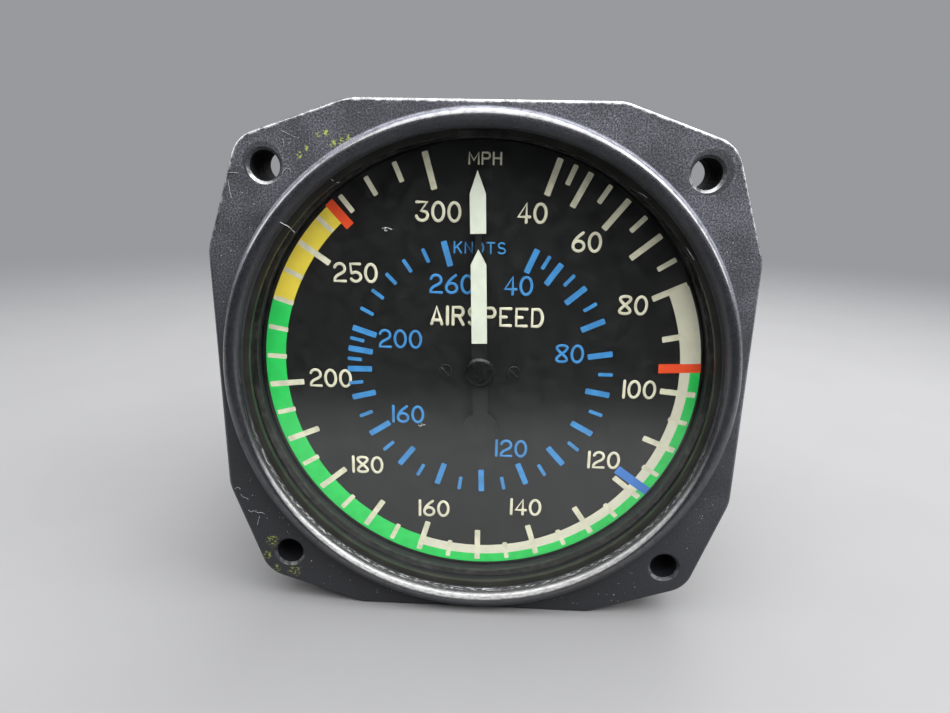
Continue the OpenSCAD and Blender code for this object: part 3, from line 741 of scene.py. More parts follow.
@dataclass(frozen=True)
class CoverGlass:
    """Flat clear glass that mirrors a little and carries a thin film of dust."""

    name: str
    shine: float = 0.9
    film: Colour = (0.55, 0.55, 0.55)
    film_share: float = 0.008

    def material(self) -> bpy.types.Material:
        """Builds the glass.

        Returns:
            The material.
        """
        r = Recipe(self.name)
        clear = r.add("ShaderNodeBsdfTransparent", None, {"Color": (0.97, 0.98, 0.97, 1.0)})
        shine = r.add("ShaderNodeBsdfGlossy", None, {"Color": (1.0, 1.0, 1.0, 1.0), "Roughness": 0.02})
        dust = r.add("ShaderNodeBsdfDiffuse", None, {"Color": (*self.film, 1.0)})
        slant = r.add("ShaderNodeLayerWeight", None, {"Blend": 0.5}, "Facing")
        edge = (slant ** 5.0 * 0.96 + 0.04) * self.shine
        pane = r.add("ShaderNodeMixShader", None, {0: edge, 1: clear, 2: shine})
        specks = r.noise(0.2 * MM, 1.0).ramp(0.76, 0.8) * 0.12
        share = specks + r.noise(2.2 * MM, 4.0).ramp(0.3, 0.8) * self.film_share
        r.output(r.add("ShaderNodeMixShader", None, {0: share, 1: pane, 2: dust}))
        return r.material


@dataclass(frozen=True)
class Fluff:
    """Pale lint and dust."""

    name: str
    colour: Colour

    def material(self) -> bpy.types.Material:
        """Builds the lint.

        Returns:
            The material.
        """
        r = Recipe(self.name)
        dim: Colour = tuple(c * 0.45 for c in self.colour)
        colour = r.mix(r.noise(1.2 * MM, 2.0).ramp(0.35, 0.65), dim, self.colour)
        return r.surface(Base_Color=colour, Roughness=0.9)


@dataclass(frozen=True)
class Plaster:
    """Plain pale floor that fades away into the distance."""

    name: str
    colour: Colour = (0.14, 0.14, 0.142)
    fade: Point = (0.15, 0.6)

    def material(self) -> bpy.types.Material:
        """Builds the floor's finish.

        Returns:
            The material.
        """
        r = Recipe(self.name)
        near: Colour = tuple(c * 0.97 for c in self.colour)
        colour = r.mix(r.noise(30 * MM, 3.0).ramp(0.3, 0.7), near, self.colour)
        alpha = r.distance(Vector((0.0, 0.0, 0.0))).ramp(self.fade[1], self.fade[0])
        return r.surface(Base_Color=colour, Roughness=0.85, Alpha=alpha)


@dataclass(frozen=True)
class DarkCard:
    """Dark card that fades out towards its lower edge."""

    name: str
    clear_at: float = -42.0 * MM
    dark_at: float = -20.0 * MM
    colour: Colour = (0.004, 0.004, 0.004)

    def material(self) -> bpy.types.Material:
        """Builds the card's finish.

        Returns:
            The material.
        """
        r = Recipe(self.name)
        _, _, height = r.split(r.place())
        clear = r.add("ShaderNodeBsdfTransparent")
        dark = r.add("ShaderNodeBsdfDiffuse", None, {"Color": (*self.colour, 1.0)})
        share = height.ramp(self.clear_at, self.dark_at)
        r.output(r.add("ShaderNodeMixShader", None, {0: share, 1: clear, 2: dark}))
        return r.material


@dataclass
class Workshop:
    """Keeps one material of each finish and gives it to pieces."""

    made: dict[str, bpy.types.Material] = field(default_factory=dict)

    def finish(self, *finishes: Any) -> list[bpy.types.Material]:
        """Materials of some finishes, built once each.

        Args:
            finishes: The finishes.

        Returns:
            One material for each.
        """
        for f in finishes:
            if f.name not in self.made:
                self.made[f.name] = f.material()
        return [self.made[f.name] for f in finishes]

    def coat(self, thing: bpy.types.Object, *finishes: Any) -> None:
        """Gives a bare piece its materials.

        Args:
            thing: The piece.
            finishes: Its finishes, in the order of its faces' numbers.
        """
        for material in self.finish(*finishes):
            thing.data.materials.append(material)

    def coat_nodes(self, finish: Any, *nodes: str) -> None:
        """Gives CAD nodes one material and reports each.

        Args:
            finish: The finish.
            nodes: Names of the nodes.
        """
        for name in nodes:
            node = frame["nodes"][name]
            for i in range(max(1, len(node.material_slots))):
                if i < len(node.material_slots):
                    node.material_slots[i].material = self.finish(finish)[0]
                else:
                    node.data.materials.append(self.finish(finish)[0])
            log.info("%s: %s", name, finish.name)

    def add(self, thing: bpy.types.Object, body: Body, slot: Slot, stands_for: Sequence[str] = ()) -> None:
        """Lets a new piece ride on a body and reports it.

        Args:
            thing: The piece.
            body: The body that carries it.
            slot: The record's material slot; not used.
            stands_for: CAD nodes that it replaces.
        """
        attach(thing, body.value)
        if stands_for:
            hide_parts(*stands_for)
        log.info("%s: %d faces", thing.name, len(thing.data.polygons))


@dataclass
class Casting:
    """One-piece case: flange, ring, body, rear wall and port bosses."""

    shop: Workshop
    flat_length: float = 38.8 * MM
    flat_blend: float = 7.0 * MM
    flange_thickness: float = 5.6 * MM
    ear_radius: float = 5.0 * MM
    ear_boss_radius: float = 4.5 * MM
    ear_boss_height: float = 4.0 * MM
    hole_chamfer: float = 0.42 * MM
    hole_seam: float = 0.12 * MM
    edge_round: float = 0.5 * MM
    rim: float = 1.2 * MM
    ring_width: float = 2.5 * MM
    root_round: float = 0.4 * MM
    groove: float = 0.6 * MM
    groove_y: float = 0.6 * MM
    seat_width: float = 1.0 * MM
    seat_lip: float = 1.2 * MM
    body_set_in: float = 0.4 * MM
    draft: float = 0.7 * MM
    wall: float = 2.4 * MM
    rear_thickness: float = 4.0 * MM
    rear_round: float = 3.0 * MM
    bore_round: float = 2.0 * MM
    boss_radius: float = 8.5 * MM
    boss_height: float = 6.0 * MM
    pipe_radius: float = 1.5 * MM
    port_web: float = 1.0 * MM
    mount_circle: float = 29.0 * MM
    mount_angles: tuple[float, ...] = (90, 210, 330)
    mount_hole: float = 1.6 * MM
    thread_pitch: float = 0.94 * MM
    thread_height: float = 0.42 * MM
    thread_sink: float = 0.04 * MM
    turn_steps: int = 180
    boss_steps: int = 64
    hole_steps: int = 56
    port_steps: int = 48
    thread_steps: int = 28
    mount_steps: int = 24
    edge_steps: int = 3

    def __post_init__(self) -> None:
        """Reads the frame's sizes."""
        low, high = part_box("case")
        self.half = high[0]
        self.front = low[1]
        self.end = high[1]
        self.back = self.end - self.boss_height
        self.ring_radius = self.half - self.rim
        self.lip = self.ring_radius - self.ring_width
        self.body_radius = self.ring_radius - self.body_set_in
        self.rear_radius = self.body_radius - self.draft
        holes, port = mount("panel_screws")["dims"], mount("pitot_port")
        self.half_pitch = holes["spacing_x_mm"] * MM / 2
        self.hole_radius = holes["hole_r_mm"] * MM
        self.port_x = port["pos_m"][0]
        self.port_radius = port["dims"]["r_mm"] * MM
        self.port_floor = self.back - self.rear_thickness + self.port_web
        self.ear_end = self.flange_thickness + self.ear_boss_height

    def outline(self) -> list[Point]:
        """Outline of the flange: four flats, and a rounded ear around each hole.

        Returns:
            Its points, across and up.
        """
        run = self.half_pitch - self.flat_length / 2
        rise = self.half - self.half_pitch
        lift = 90 + math.degrees(math.asin(self.ear_radius / math.hypot(run, rise)) - math.atan2(rise, run))
        b = self.flat_blend
        near = self.flat_length / 2 - b * math.tan(math.radians((90 - lift) / 2))
        far = self.half - b
        corner = [
            *arc(far, near, b, b, 0, 90 - lift, 6),
            *arc(self.half_pitch, self.half_pitch, self.ear_radius, self.ear_radius, 90 - lift, lift, 16),
            *arc(near, far, b, b, lift, 90, 6),
        ]
        points: list[Point] = []
        for quarter in range(4):
            turn = Matrix.Rotation(quarter * math.pi / 2, 2)
            points += [tuple(turn @ Vector(p)) for p in corner]
        return points

    def slab(self, outline: Sequence[Point], start: float, stop: float, both: bool) -> bmesh.types.BMesh:
        """Flat solid with rounded edges.

        Args:
            outline: Its points, across and up.
            start: Depth of its front.
            stop: Depth of its back.
            both: True if both sides are rounded, False for the back alone.

        Returns:
            The solid.
        """
        shape = bmesh.new()
        face = shape.faces.new([shape.verts.new((x, start, z)) for x, z in outline])
        grown = bmesh.ops.extrude_face_region(shape, geom=[face])["geom"]
        verts = [g for g in grown if isinstance(g, bmesh.types.BMVert)]
        bmesh.ops.translate(shape, verts=verts, vec=(0.0, stop - start, 0.0))
        bmesh.ops.recalc_face_normals(shape, faces=shape.faces[:])
        depths = (start, stop) if both else (stop,)
        rims = [
            e for e in shape.edges if any(all(abs(v.co.y - d) < MERGE for v in e.verts) for d in depths)
        ]
        bmesh.ops.bevel(
            shape, geom=rims, offset=self.edge_round, affect="EDGES", segments=self.edge_steps, profile=0.5,
            material=Wear.EDGE.value,
        )
        return shape

    def ear_boss(self, angle: float) -> bmesh.types.BMesh:
        """Boss behind one panel hole, which runs in to the body.

        Args:
            angle: Direction of the hole from the middle, in degrees.

        Returns:
            The boss.
        """
        r, reach = self.ear_boss_radius, self.half_pitch * math.sqrt(2)
        turn = Matrix.Rotation(math.radians(angle), 2)
        outline = [(0.0, -r), *arc(reach, 0.0, r, r, -90, 90, 20), (0.0, r)]
        return self.slab(
            [tuple(turn @ Vector(p)) for p in outline], self.flange_thickness / 2, self.ear_end, False
        )

    def section(self) -> list[Point]:
        """Section of the wall, from the middle of the inside round the ring to the middle of the back.

        Returns:
            Its points, as radius and depth.
        """
        glass_low, glass_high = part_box("cover_glass")
        seat_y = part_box("glass_gasket")[1][1]
        seat = glass_high[0] - self.seat_width
        bore = self.body_radius - self.wall
        bore_rear = self.rear_radius - self.wall
        inside = self.back - self.rear_thickness
        crest = self.ring_width / 2
        top = self.front + crest
        join = self.ring_radius + self.root_round
        tail = self.body_radius + self.root_round
        f, b, e = self.root_round, self.bore_round, self.rear_round
        return [
            (0.0, inside),
            *arc(bore_rear - b, inside - b, b, b, 90, 0, 6),
            (bore, seat_y + self.seat_lip + bore - seat),
            (seat, seat_y + self.seat_lip),
            (seat, seat_y),
            (self.lip, seat_y),
            (self.lip, glass_low[1]),
            (self.lip + self.groove, glass_low[1]),
            (self.lip + self.groove, self.groove_y),
            (self.lip, self.groove_y),
            *arc(self.lip + crest, top, crest, crest, 180, 360, 16),
            *arc(join, -f, f, f, 180, 92, 5),
            (join, f),
            (join, self.flange_thickness / 2),
            (tail, self.flange_thickness / 2),
            *arc(tail, self.flange_thickness + f, f, f, 268, 180, 5),
            *arc(self.rear_radius - e, self.back - e, e, e, 0, 90, 10),
            (0.0, self.back),
        ]

    def boss(self, x: float) -> bmesh.types.BMesh:
        """Round boss of one port, with a softened rim.

        Args:
            x: The port's place across.

        Returns:
            The boss.
        """
        start = self.back - self.rear_thickness / 2
        r, c = self.boss_radius, self.edge_round
        section = [(0.0, start), (r, start), *arc(r - c, self.end - c, c, c, 0, 90, 4), (0.0, self.end)]
        return moved(turned(section, self.boss_steps), x, 0.0, 0.0)

    def panel_hole(self, x: float, z: float) -> bmesh.types.BMesh:
        """Cutter of one panel hole, with chamfered mouths that are rubbed bare with a painted highlight,
        walls in painted shade, and a fine seam inside.

        Args:
            x: The hole's place across.
            z: The hole's place up.

        Returns:
            The cutter.
        """
        r, c, s = self.hole_radius, self.hole_chamfer, self.hole_seam
        middle, end = self.flange_thickness, self.ear_end
        shape = turned([
            (0, -c), (r + 2 * c, -c), (r, c),
            (r, middle - s), (r + s, middle), (r, middle + s), (r, end - c),
            (r + 2 * c, end + c), (0, end + c),
        ], self.hole_steps)
        for face in shape.faces:
            depth = face.calc_center_median().y
            mouth = 0.2 < abs(face.normal.y) < 0.9 and (depth < c or depth > end - c)
            # mouth faces take the rubbed finish with its painted highlight, the rest the painted shade of
            # the hole walls
            face.material_index = (Wear.MOUTH if mouth else Wear.SHADED_BORE).value
        return moved(shape, x, 0.0, z)

    def port_hole(self, x: float) -> bmesh.types.BMesh:
        """Cutter of one port: thread bore with a chamfered mouth, and the way through the wall.

        Args:
            x: The port's place across.

        Returns:
            The cutter.
        """
        r, c = self.port_radius, self.edge_round
        wall_in = self.back - self.rear_thickness - c
        section = [
            (0.0, wall_in), (self.pipe_radius, wall_in), (self.pipe_radius, self.port_floor),
            (r, self.port_floor), (r, self.end - c), (r + 2 * c, self.end + c), (0.0, self.end + c),
        ]
        return moved(turned(section, self.port_steps), x, 0.0, 0.0)

    def mount_holes(self) -> list[bmesh.types.BMesh]:
        """Cutters of the holes for the screws that hold the movement.

        Returns:
            One cutter for each.
        """
        start, stop = self.back - 2 * self.rear_thickness, self.back + self.rear_thickness
        r, reach = self.mount_hole, self.mount_circle
        holes = []
        for angle in self.mount_angles:
            a = math.radians(angle)
            rod = turned([(0.0, start), (r, start), (r, stop), (0.0, stop)], self.mount_steps)
            holes.append(moved(rod, reach * math.cos(a), 0.0, reach * math.sin(a)))
        return holes

    def thread(self, x: float) -> bmesh.types.BMesh:
        """Thread ridge on a port's wall.

        Args:
            x: The port's place across.

        Returns:
            The ridge.
        """
        pitch, steps = self.thread_pitch, self.thread_steps
        turns = int((self.end - self.port_floor - 2 * pitch) / pitch)
        root = self.port_radius + self.thread_sink
        tip = root - self.thread_height
        start = self.port_floor + pitch / 2
        shape = bmesh.new()
        corners = [(root, start), (tip, start + pitch / 2), (root, start + 0.9 * pitch)]
        verts = [shape.verts.new((r, y, 0.0)) for r, y in corners]
        edges = [shape.edges.new((verts[i], verts[(i + 1) % 3])) for i in range(3)]
        bmesh.ops.spin(
            shape, geom=verts + edges, cent=(0, 0, 0), axis=AXIS, dvec=(0.0, pitch / steps, 0.0),
            angle=-2 * math.pi * turns, steps=steps * turns,
        )
        bmesh.ops.holes_fill(shape, edges=[e for e in shape.edges if e.is_boundary], sides=3)
        bmesh.ops.recalc_face_normals(shape, faces=shape.faces[:])
        return moved(shape, x, 0.0, 0.0)

    def build(self) -> None:
        """Builds and dresses the casting and its port threads."""
        inner = (self.lip + self.groove + self.body_radius) / 2
        gap = 2 * self.flange_thickness
        middle = turned([(0.0, -gap), (inner, -gap), (inner, gap), (0.0, gap)], self.turn_steps)
        ports = (-self.port_x, self.port_x)
        holes = [self.panel_hole(x, z) for x in (-self.half_pitch, self.half_pitch)
                 for z in (-self.half_pitch, self.half_pitch)]
        cutters = holes + [self.port_hole(x) for x in ports] + self.mount_holes()
        flange = placed("flange", self.slab(self.outline(), 0.0, self.flange_thickness, True))
        steps = [
            *(("UNION", placed("ear_boss", self.ear_boss(angle))) for angle in (45, 135, 225, 315)),
            ("DIFFERENCE", placed("middle", middle)),
            ("UNION", placed("barrel", turned(self.section(), self.turn_steps))),
            ("UNION", placed("bosses", gathered(self.boss(x) for x in ports))),
            ("DIFFERENCE", placed("cutters", gathered(cutters))),
        ]
        for thing in (flange, *(tool for _, tool in steps)):
            # the case enamel and its rubbed places carry painted light: dust graded by the light, painted
            # highlights, and painted shade on the hole walls
            self.shop.coat(
                thing, CasePaint("case enamel with painted light", Wear.FACE), CasePaint("rubbed enamel with painted highlight", Wear.EDGE),
                CasePaint("bared hole mouths with painted highlight", Wear.MOUTH), CasePaint("hole walls in painted shade", Wear.SHADED_BORE),
            )
        case = linked("case_casting", carved(flange, steps))
        soften(case)
        self.shop.add(case, Body.HOUSING, Slot.CASE, ["case"])
        threads = placed("port_threads", gathered(self.thread(x) for x in ports))
        self.shop.coat(threads, Metal("cut thread", (0.4, 0.4, 0.41), 0.35))
        self.shop.add(threads, Body.HOUSING, Slot.CASE)


@dataclass
class GlassSet:
    """Cover glass with its gasket and spring ring."""

    shop: Workshop

    def build(self) -> None:
        """Dresses the glass, gasket and ring."""
        self.shop.coat_nodes(CoverGlass("cover glass"), "cover_glass")
        self.shop.coat_nodes(Rubber("glass gasket rubber"), "glass_gasket")
        self.shop.coat_nodes(
            Metal("blackened ring steel", (0.05, 0.05, 0.043), 0.42, 0.6), "retaining_ring"
        )


class Glyphs:
    """Single-stroke characters, each drawn in a square from -1 to 1 across and up."""

    LINES: dict[str, list[list[Point]]] = {
        "0": [arc(0, 0, 1, 1, 90, 450, 28)],
        "1": [[(0.0, 1.0), (0.0, -1.0)]],
        "2": [arc(0, 0.44, 0.94, 0.56, 165, -38, 14)
              + [(0.35, -0.09), (-0.25, -0.27), (-0.68, -0.48), (-0.92, -0.7), (-1.0, -1.0), (1.0, -1.0)]],
        "3": [[(-0.95, 1.0), (0.9, 1.0), (-0.22, 0.06), (0.3, 0.0)]
              + arc(-0.03, -0.44, 1.0, 0.56, 40, -172, 16)],
        "4": [[(0.42, -1.0), (0.42, 1.0), (-1.0, -0.42), (1.0, -0.42)]],
        "5": [[(0.85, 1.0), (-0.88, 1.0), (-0.72, -0.05)] + arc(0.05, -0.47, 0.95, 0.53, 130, -150, 16)],
        "6": [[(0.72, 1.0), (0.3, 0.8), (-0.15, 0.55), (-0.55, 0.26), (-0.84, -0.06), (-0.97, -0.36)],
              arc(0, -0.45, 0.98, 0.55, 90, 450, 24)],
        "8": [[(0.96 * math.sin(2 * a), math.cos(a)) for a in (math.radians(9 * i) for i in range(41))]],
        "A": [[(-1.0, -1.0), (0.0, 1.0), (1.0, -1.0)], [(-0.78, -0.56), (0.78, -0.56)]],
        "D": [[(-1.0, -1.0), (-1.0, 1.0)] + arc(0.0, 0, 1.0, 1.0, 90, -90, 14) + [(-1.0, -1.0)]],
        "E": [[(1.0, 1.0), (-1.0, 1.0), (-1.0, -1.0), (1.0, -1.0)], [(-1.0, 0.0), (0.1, 0.0)]],
        "H": [[(-1.0, -1.0), (-1.0, 1.0)], [(1.0, -1.0), (1.0, 1.0)], [(-1.0, 0.05), (1.0, 0.05)]],
        "I": [[(0.0, -1.0), (0.0, 1.0)]],
        "K": [[(-1.0, -1.0), (-1.0, 1.0)], [(0.95, 1.0), (-1.0, -0.25)], [(-0.3, 0.2), (1.0, -1.0)]],
        "M": [[(-1.0, -1.0), (-1.0, 1.0), (0.0, -0.4), (1.0, 1.0), (1.0, -1.0)]],
        "N": [[(-1.0, -1.0), (-1.0, 1.0), (1.0, -1.0), (1.0, 1.0)]],
        "O": [arc(0, 0, 1, 1, 90, 450, 24)],
        "P": [[(-1.0, -1.0), (-1.0, 1.0)] + arc(0.3, 0.48, 0.7, 0.52, 90, -90, 10) + [(-1.0, -0.04)]],
        "R": [[(-1.0, -1.0), (-1.0, 1.0)] + arc(0.3, 0.5, 0.7, 0.5, 90, -90, 10) + [(-1.0, 0.0)],
              [(0.1, 0.0), (1.0, -1.0)]],
        "S": [arc(0, 0.5, 0.92, 0.5, 35, 270, 14) + arc(0, -0.5, 1.0, 0.5, 90, -150, 14)[1:]],
        "T": [[(-1.0, 1.0), (1.0, 1.0)], [(0.0, 1.0), (0.0, -1.0)]],
    }
    WIDTHS: dict[str, float] = {"1": 0.22, "I": 0.24, "M": 1.2}

    @classmethod
    def width(cls, character: str) -> float:
        """A character's width as a share of a full one."""
        return cls.WIDTHS.get(character, 1.0)


@dataclass(frozen=True)
class Lettering:
    """Words and numbers drawn with one round-ended stroke."""

    height: float
    letter: float
    gap: float
    stroke: float
    depth: float = 0.05 * MM
    sides: int = 3
    end_angles: tuple[float, ...] = (25, 48, 68, 82)

    def strokes(self, text: str, x: float, z: float) -> list[list[Vector]]:
        """Centre lines of a text around a point.

        Args:
            text: The text.
            x: Middle of the text across.
            z: Middle of the text up.

        Returns:
            One list of points for each stroke.
        """
        widths = [self.letter * Glyphs.width(c) for c in text]
        left = x - (sum(widths) + self.gap * (len(text) - 1)) / 2
        tall = (self.height - self.stroke) / 2
        lines = []
        for character, width in zip(text, widths):
            wide = max(0.0, (width - self.stroke) / 2)
            middle = left + width / 2
            for line in Glyphs.LINES[character]:
                lines.append([Vector((middle + wide * px, 0.0, z + tall * pz)) for px, pz in line])
            left += width + self.gap
        return lines

    def piece(self, name: str, places: Sequence[tuple[str, float, float]], face: float) -> bpy.types.Object:
        """Draws texts on a plane that faces the front.

        Args:
            name: Name of the piece.
            places: Each text with its middle, across and up.
            face: Depth of the plane.

        Returns:
            The piece.
        """
        lines = [line for text, x, z in places for line in self.strokes(text, x, z)]
        mesh = drawn(name, [self.rounded(line) for line in lines], self.stroke / 2, self.sides)
        flat = Matrix.Diagonal((1.0, 2 * self.depth / self.stroke, 1.0, 1.0))
        mesh.transform(Matrix.Translation((0.0, face, 0.0)) @ flat)
        return linked(name, mesh)

    def rounded(self, line: Sequence[Vector]) -> Stroke:
        """One stroke with round ends, unless it is closed.

        Args:
            line: The stroke's points.

        Returns:
            Its points with their share of its thickness.
        """
        points = [(p, 1.0) for p in line]
        if (line[0] - line[-1]).length < SAME:
            return points
        return self.round_end(line[1], line[0])[::-1] + points + self.round_end(line[-2], line[-1])

    def round_end(self, before: Vector, end: Vector) -> Stroke:
        """Rounds off a stroke beyond its end.

        Args:
            before: The last point but one.
            end: The last point.

        Returns:
            The further points, with their share of its thickness.
        """
        along = (end - before).normalized() * self.stroke / 2
        angles = [math.radians(a) for a in self.end_angles]
        return [(end + along * math.sin(a), math.cos(a)) for a in angles]


CREAM_INK = Ink("cream ink", (0.8, 0.75, 0.58))
BLUE_INK = Ink("blue ink", (0.05, 0.27, 0.63))


@dataclass(frozen=True)
class Print:
    """Texts of one size and colour, each with its middle across and up in millimetres."""

    name: str
    style: Lettering
    ink: Ink
    slot: Slot
    texts: tuple[tuple[str, float, float], ...]


@dataclass
class Dial:
    """Black dial plate with its printed scales, numbers and words."""

    shop: Workshop
    layers: tuple[tuple[str, Ink], ...] = (
        ("dial", Ink("dial black", (0.008, 0.008, 0.0085), 0.75, 0.45)),
        ("mph_scale", CREAM_INK),
        ("knots_scale", BLUE_INK),
        ("white_arc", Ink("white arc enamel", (0.76, 0.72, 0.58), 0.94, 0.4)),
        ("green_arc", Ink("green arc enamel", (0.025, 0.66, 0.12), 0.9, 0.35)),
        ("yellow_arc", Ink("yellow arc enamel", (0.92, 0.7, 0.07), 0.94, 0.35)),
        ("red_lines", Ink("red line enamel", (0.97, 0.085, 0.017), 0.92, 0.35)),
        ("blue_line", Ink("blue line enamel", (0.045, 0.2, 0.64), 0.9, 0.35)),
    )
    prints: tuple[Print, ...] = (
        Print(
            "mph_numbers", Lettering(3.24 * MM, 2.2 * MM, 0.27 * MM, 0.48 * MM), CREAM_INK, Slot.CREAM,
            (
                ("40", 7.43, 25.27), ("60", 15.93, 21.1), ("80", 23.78, 11.49), ("100", 25.97, -2.37),
                ("120", 21.13, -15.01), ("140", 8.41, -24.35), ("160", -7.45, -25.25),
                ("180", -18.87, -17.42), ("200", -24.63, -2.05), ("250", -19.97, 15.51),
                ("300", -6.9, 25.19),
            ),
        ),
        Print(
            "knots_numbers", Lettering(3.2 * MM, 2.2 * MM, 0.27 * MM, 0.46 * MM), BLUE_INK, Slot.BLUE,
            (
                ("40", 5.73, 14.09), ("80", 14.34, 3.29), ("120", 5.53, -13.51), ("160", -11.83, -7.97),
                ("200", -12.99, 4.95), ("260", -4.75, 14.09),
            ),
        ),
        Print(
            "airspeed_word", Lettering(3.27 * MM, 2.13 * MM, 0.386 * MM, 0.52 * MM), CREAM_INK, Slot.CREAM,
            (("AIRSPEED", 0.925, 9.03),),
        ),
        Print(
            "mph_word", Lettering(1.92 * MM, 1.42 * MM, 0.25 * MM, 0.3 * MM), CREAM_INK, Slot.CREAM,
            (("MPH", 0.105, 33.11),),
        ),
        Print(
            "knots_word", Lettering(1.9 * MM, 1.35 * MM, 0.345 * MM, 0.28 * MM), BLUE_INK, Slot.BLUE,
            (("KNOTS", -0.435, 19.85),),
        ),
    )

    def build(self) -> None:
        """Dresses the dial and adds its numbers and words."""
        for node, ink in self.layers:
            self.shop.coat_nodes(ink, node)
        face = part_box("dial")[0][1]
        for row in self.prints:
            piece = row.style.piece(row.name, [(t, x * MM, z * MM) for t, x, z in row.texts], face)
            self.shop.coat(piece, row.ink)
            self.shop.add(piece, Body.HOUSING, row.slot)


@dataclass
class DialScrews:
    """The two slotted screws beside the pivot, with softened edges that are rubbed bare."""

    shop: Workshop
    head_height: float = 0.45 * MM
    shank_radius: float = 0.6 * MM
    slot_share: float = 0.3
    slot_depth: float = 0.2 * MM
    slot_turn: float = 45.0
    edge: float = 0.07 * MM
    turn_steps: int = 48

    def screw(self, x: float, front: float, end: float, radius: float) -> bmesh.types.BMesh:
        """Head and shank of one screw.

        Args:
            x: Its place across.
            front: Depth of the head's face.
            end: Depth of the shank's end.
            radius: Radius of the head.

        Returns:
            The screw without its slot.
        """
        seat, shank = front + self.head_height, self.shank_radius
        section = [(0.0, front), (radius, front), (radius, seat), (shank, seat), (shank, end), (0.0, end)]
        return moved(turned(section, self.turn_steps), x, 0.0, 0.0)

    def slot(self, x: float, front: float, radius: float) -> bmesh.types.BMesh:
        """Cutter of one screw's slot.

        Args:
            x: Its place across.
            front: Depth of the head's face.
            radius: Radius of the head.

        Returns:
            The cutter.
        """
        size = Matrix.Diagonal((3 * radius, 2 * self.slot_depth, self.slot_share * radius, 1.0))
        turn = Matrix.Rotation(math.radians(self.slot_turn), 4, "Y")
        shape = bmesh.new()
        bmesh.ops.create_cube(shape, size=1.0, matrix=Matrix.Translation((x, front, 0.0)) @ turn @ size)
        return shape

    def build(self) -> None:
        """Builds and dresses both screws."""
        low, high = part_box("dial_screws")
        radius = high[2]
        places = (low[0] + radius, high[0] - radius)
        rods = placed("screws", gathered(self.screw(x, low[1], high[1], radius) for x in places))
        slots = placed("slots", gathered(self.slot(x, low[1], radius) for x in places))
        pair = linked("dial_screw_pair", carved(rods, [("DIFFERENCE", slots)]))
        rounding = pair.modifiers.new("rounded_edges", "BEVEL")
        rounding.width = self.edge
        rounding.segments = 2
        rounding.material = 1
        soften(pair)
        self.shop.coat(
            pair, Metal("blackened screw steel", (0.06, 0.06, 0.06), 0.3, 0.9, 3 * MM),
            Metal("bared screw edges", (0.5, 0.5, 0.49), 0.3),
        )
        self.shop.add(pair, Body.HOUSING, Slot.STEEL, ["dial_screws"])


@dataclass
class Pointer:
    """Blade, its white paint and its hub."""

    shop: Workshop

    def build(self) -> None:
        """Dresses the pointer."""
        self.shop.coat_nodes(Ink("pointer black", (0.01, 0.01, 0.0105), 0.75, 0.45), "pointer")
        self.shop.coat_nodes(Ink("pointer white", (0.72, 0.74, 0.64), 0.92, 0.45), "pointer_paint")
        self.shop.coat_nodes(
            Metal("blackened hub steel", (0.055, 0.055, 0.055), 0.26, 0.9, 2 * MM), "pointer_hub"
        )


@dataclass
class Movement:
    """Plates, gears, levers and capsule inside the case."""

    shop: Workshop

    def build(self) -> None:
        """Dresses the inner pieces."""
        shop = self.shop
        shop.coat_nodes(
            Metal("drawn plate metal", (0.62, 0.6, 0.52), 0.38, 1.0, 0.4 * MM, (0.08, 1.0, 1.0)),
            "front_plate", "rear_plate", "capsule_bridge",
        )
        shop.coat_nodes(
            Metal("turned brass", (0.7, 0.5, 0.2), 0.3), "pillars", "pinion", "hairspring_collet",
            "sector_gear", "sector_collet", "input_arm", "output_finger", "rear_posts", "capsule_stud",
            "capsule_nut",
        )
        shop.coat_nodes(
            Metal("ground steel", (0.55, 0.55, 0.56), 0.24), "sector_arbor", "rocking_shaft",
            "capsule_post", "hairspring_stud", "pillar_screws", "post_screws",
        )
        shop.coat_nodes(Metal("blued steel", (0.045, 0.047, 0.055), 0.34), "hand_staff")
        shop.coat_nodes(
            Metal("spring bronze", (0.6, 0.36, 0.16), 0.28), "hairspring", "staff_bushes", "sector_bushes",
            "rocking_pivots", "front_diaphragm", "rear_diaphragm", "pitot_pipe",
        )


@dataclass
class RearFittings:
    """Screws and washers on the rear wall."""

    shop: Workshop

    def build(self) -> None:
        """Dresses the rear fittings."""
        self.shop.coat_nodes(Metal("plated screw steel", (0.5, 0.5, 0.49), 0.3), "mounting_screws")
        self.shop.coat_nodes(Rubber("sealing washer rubber"), "sealing_washers")


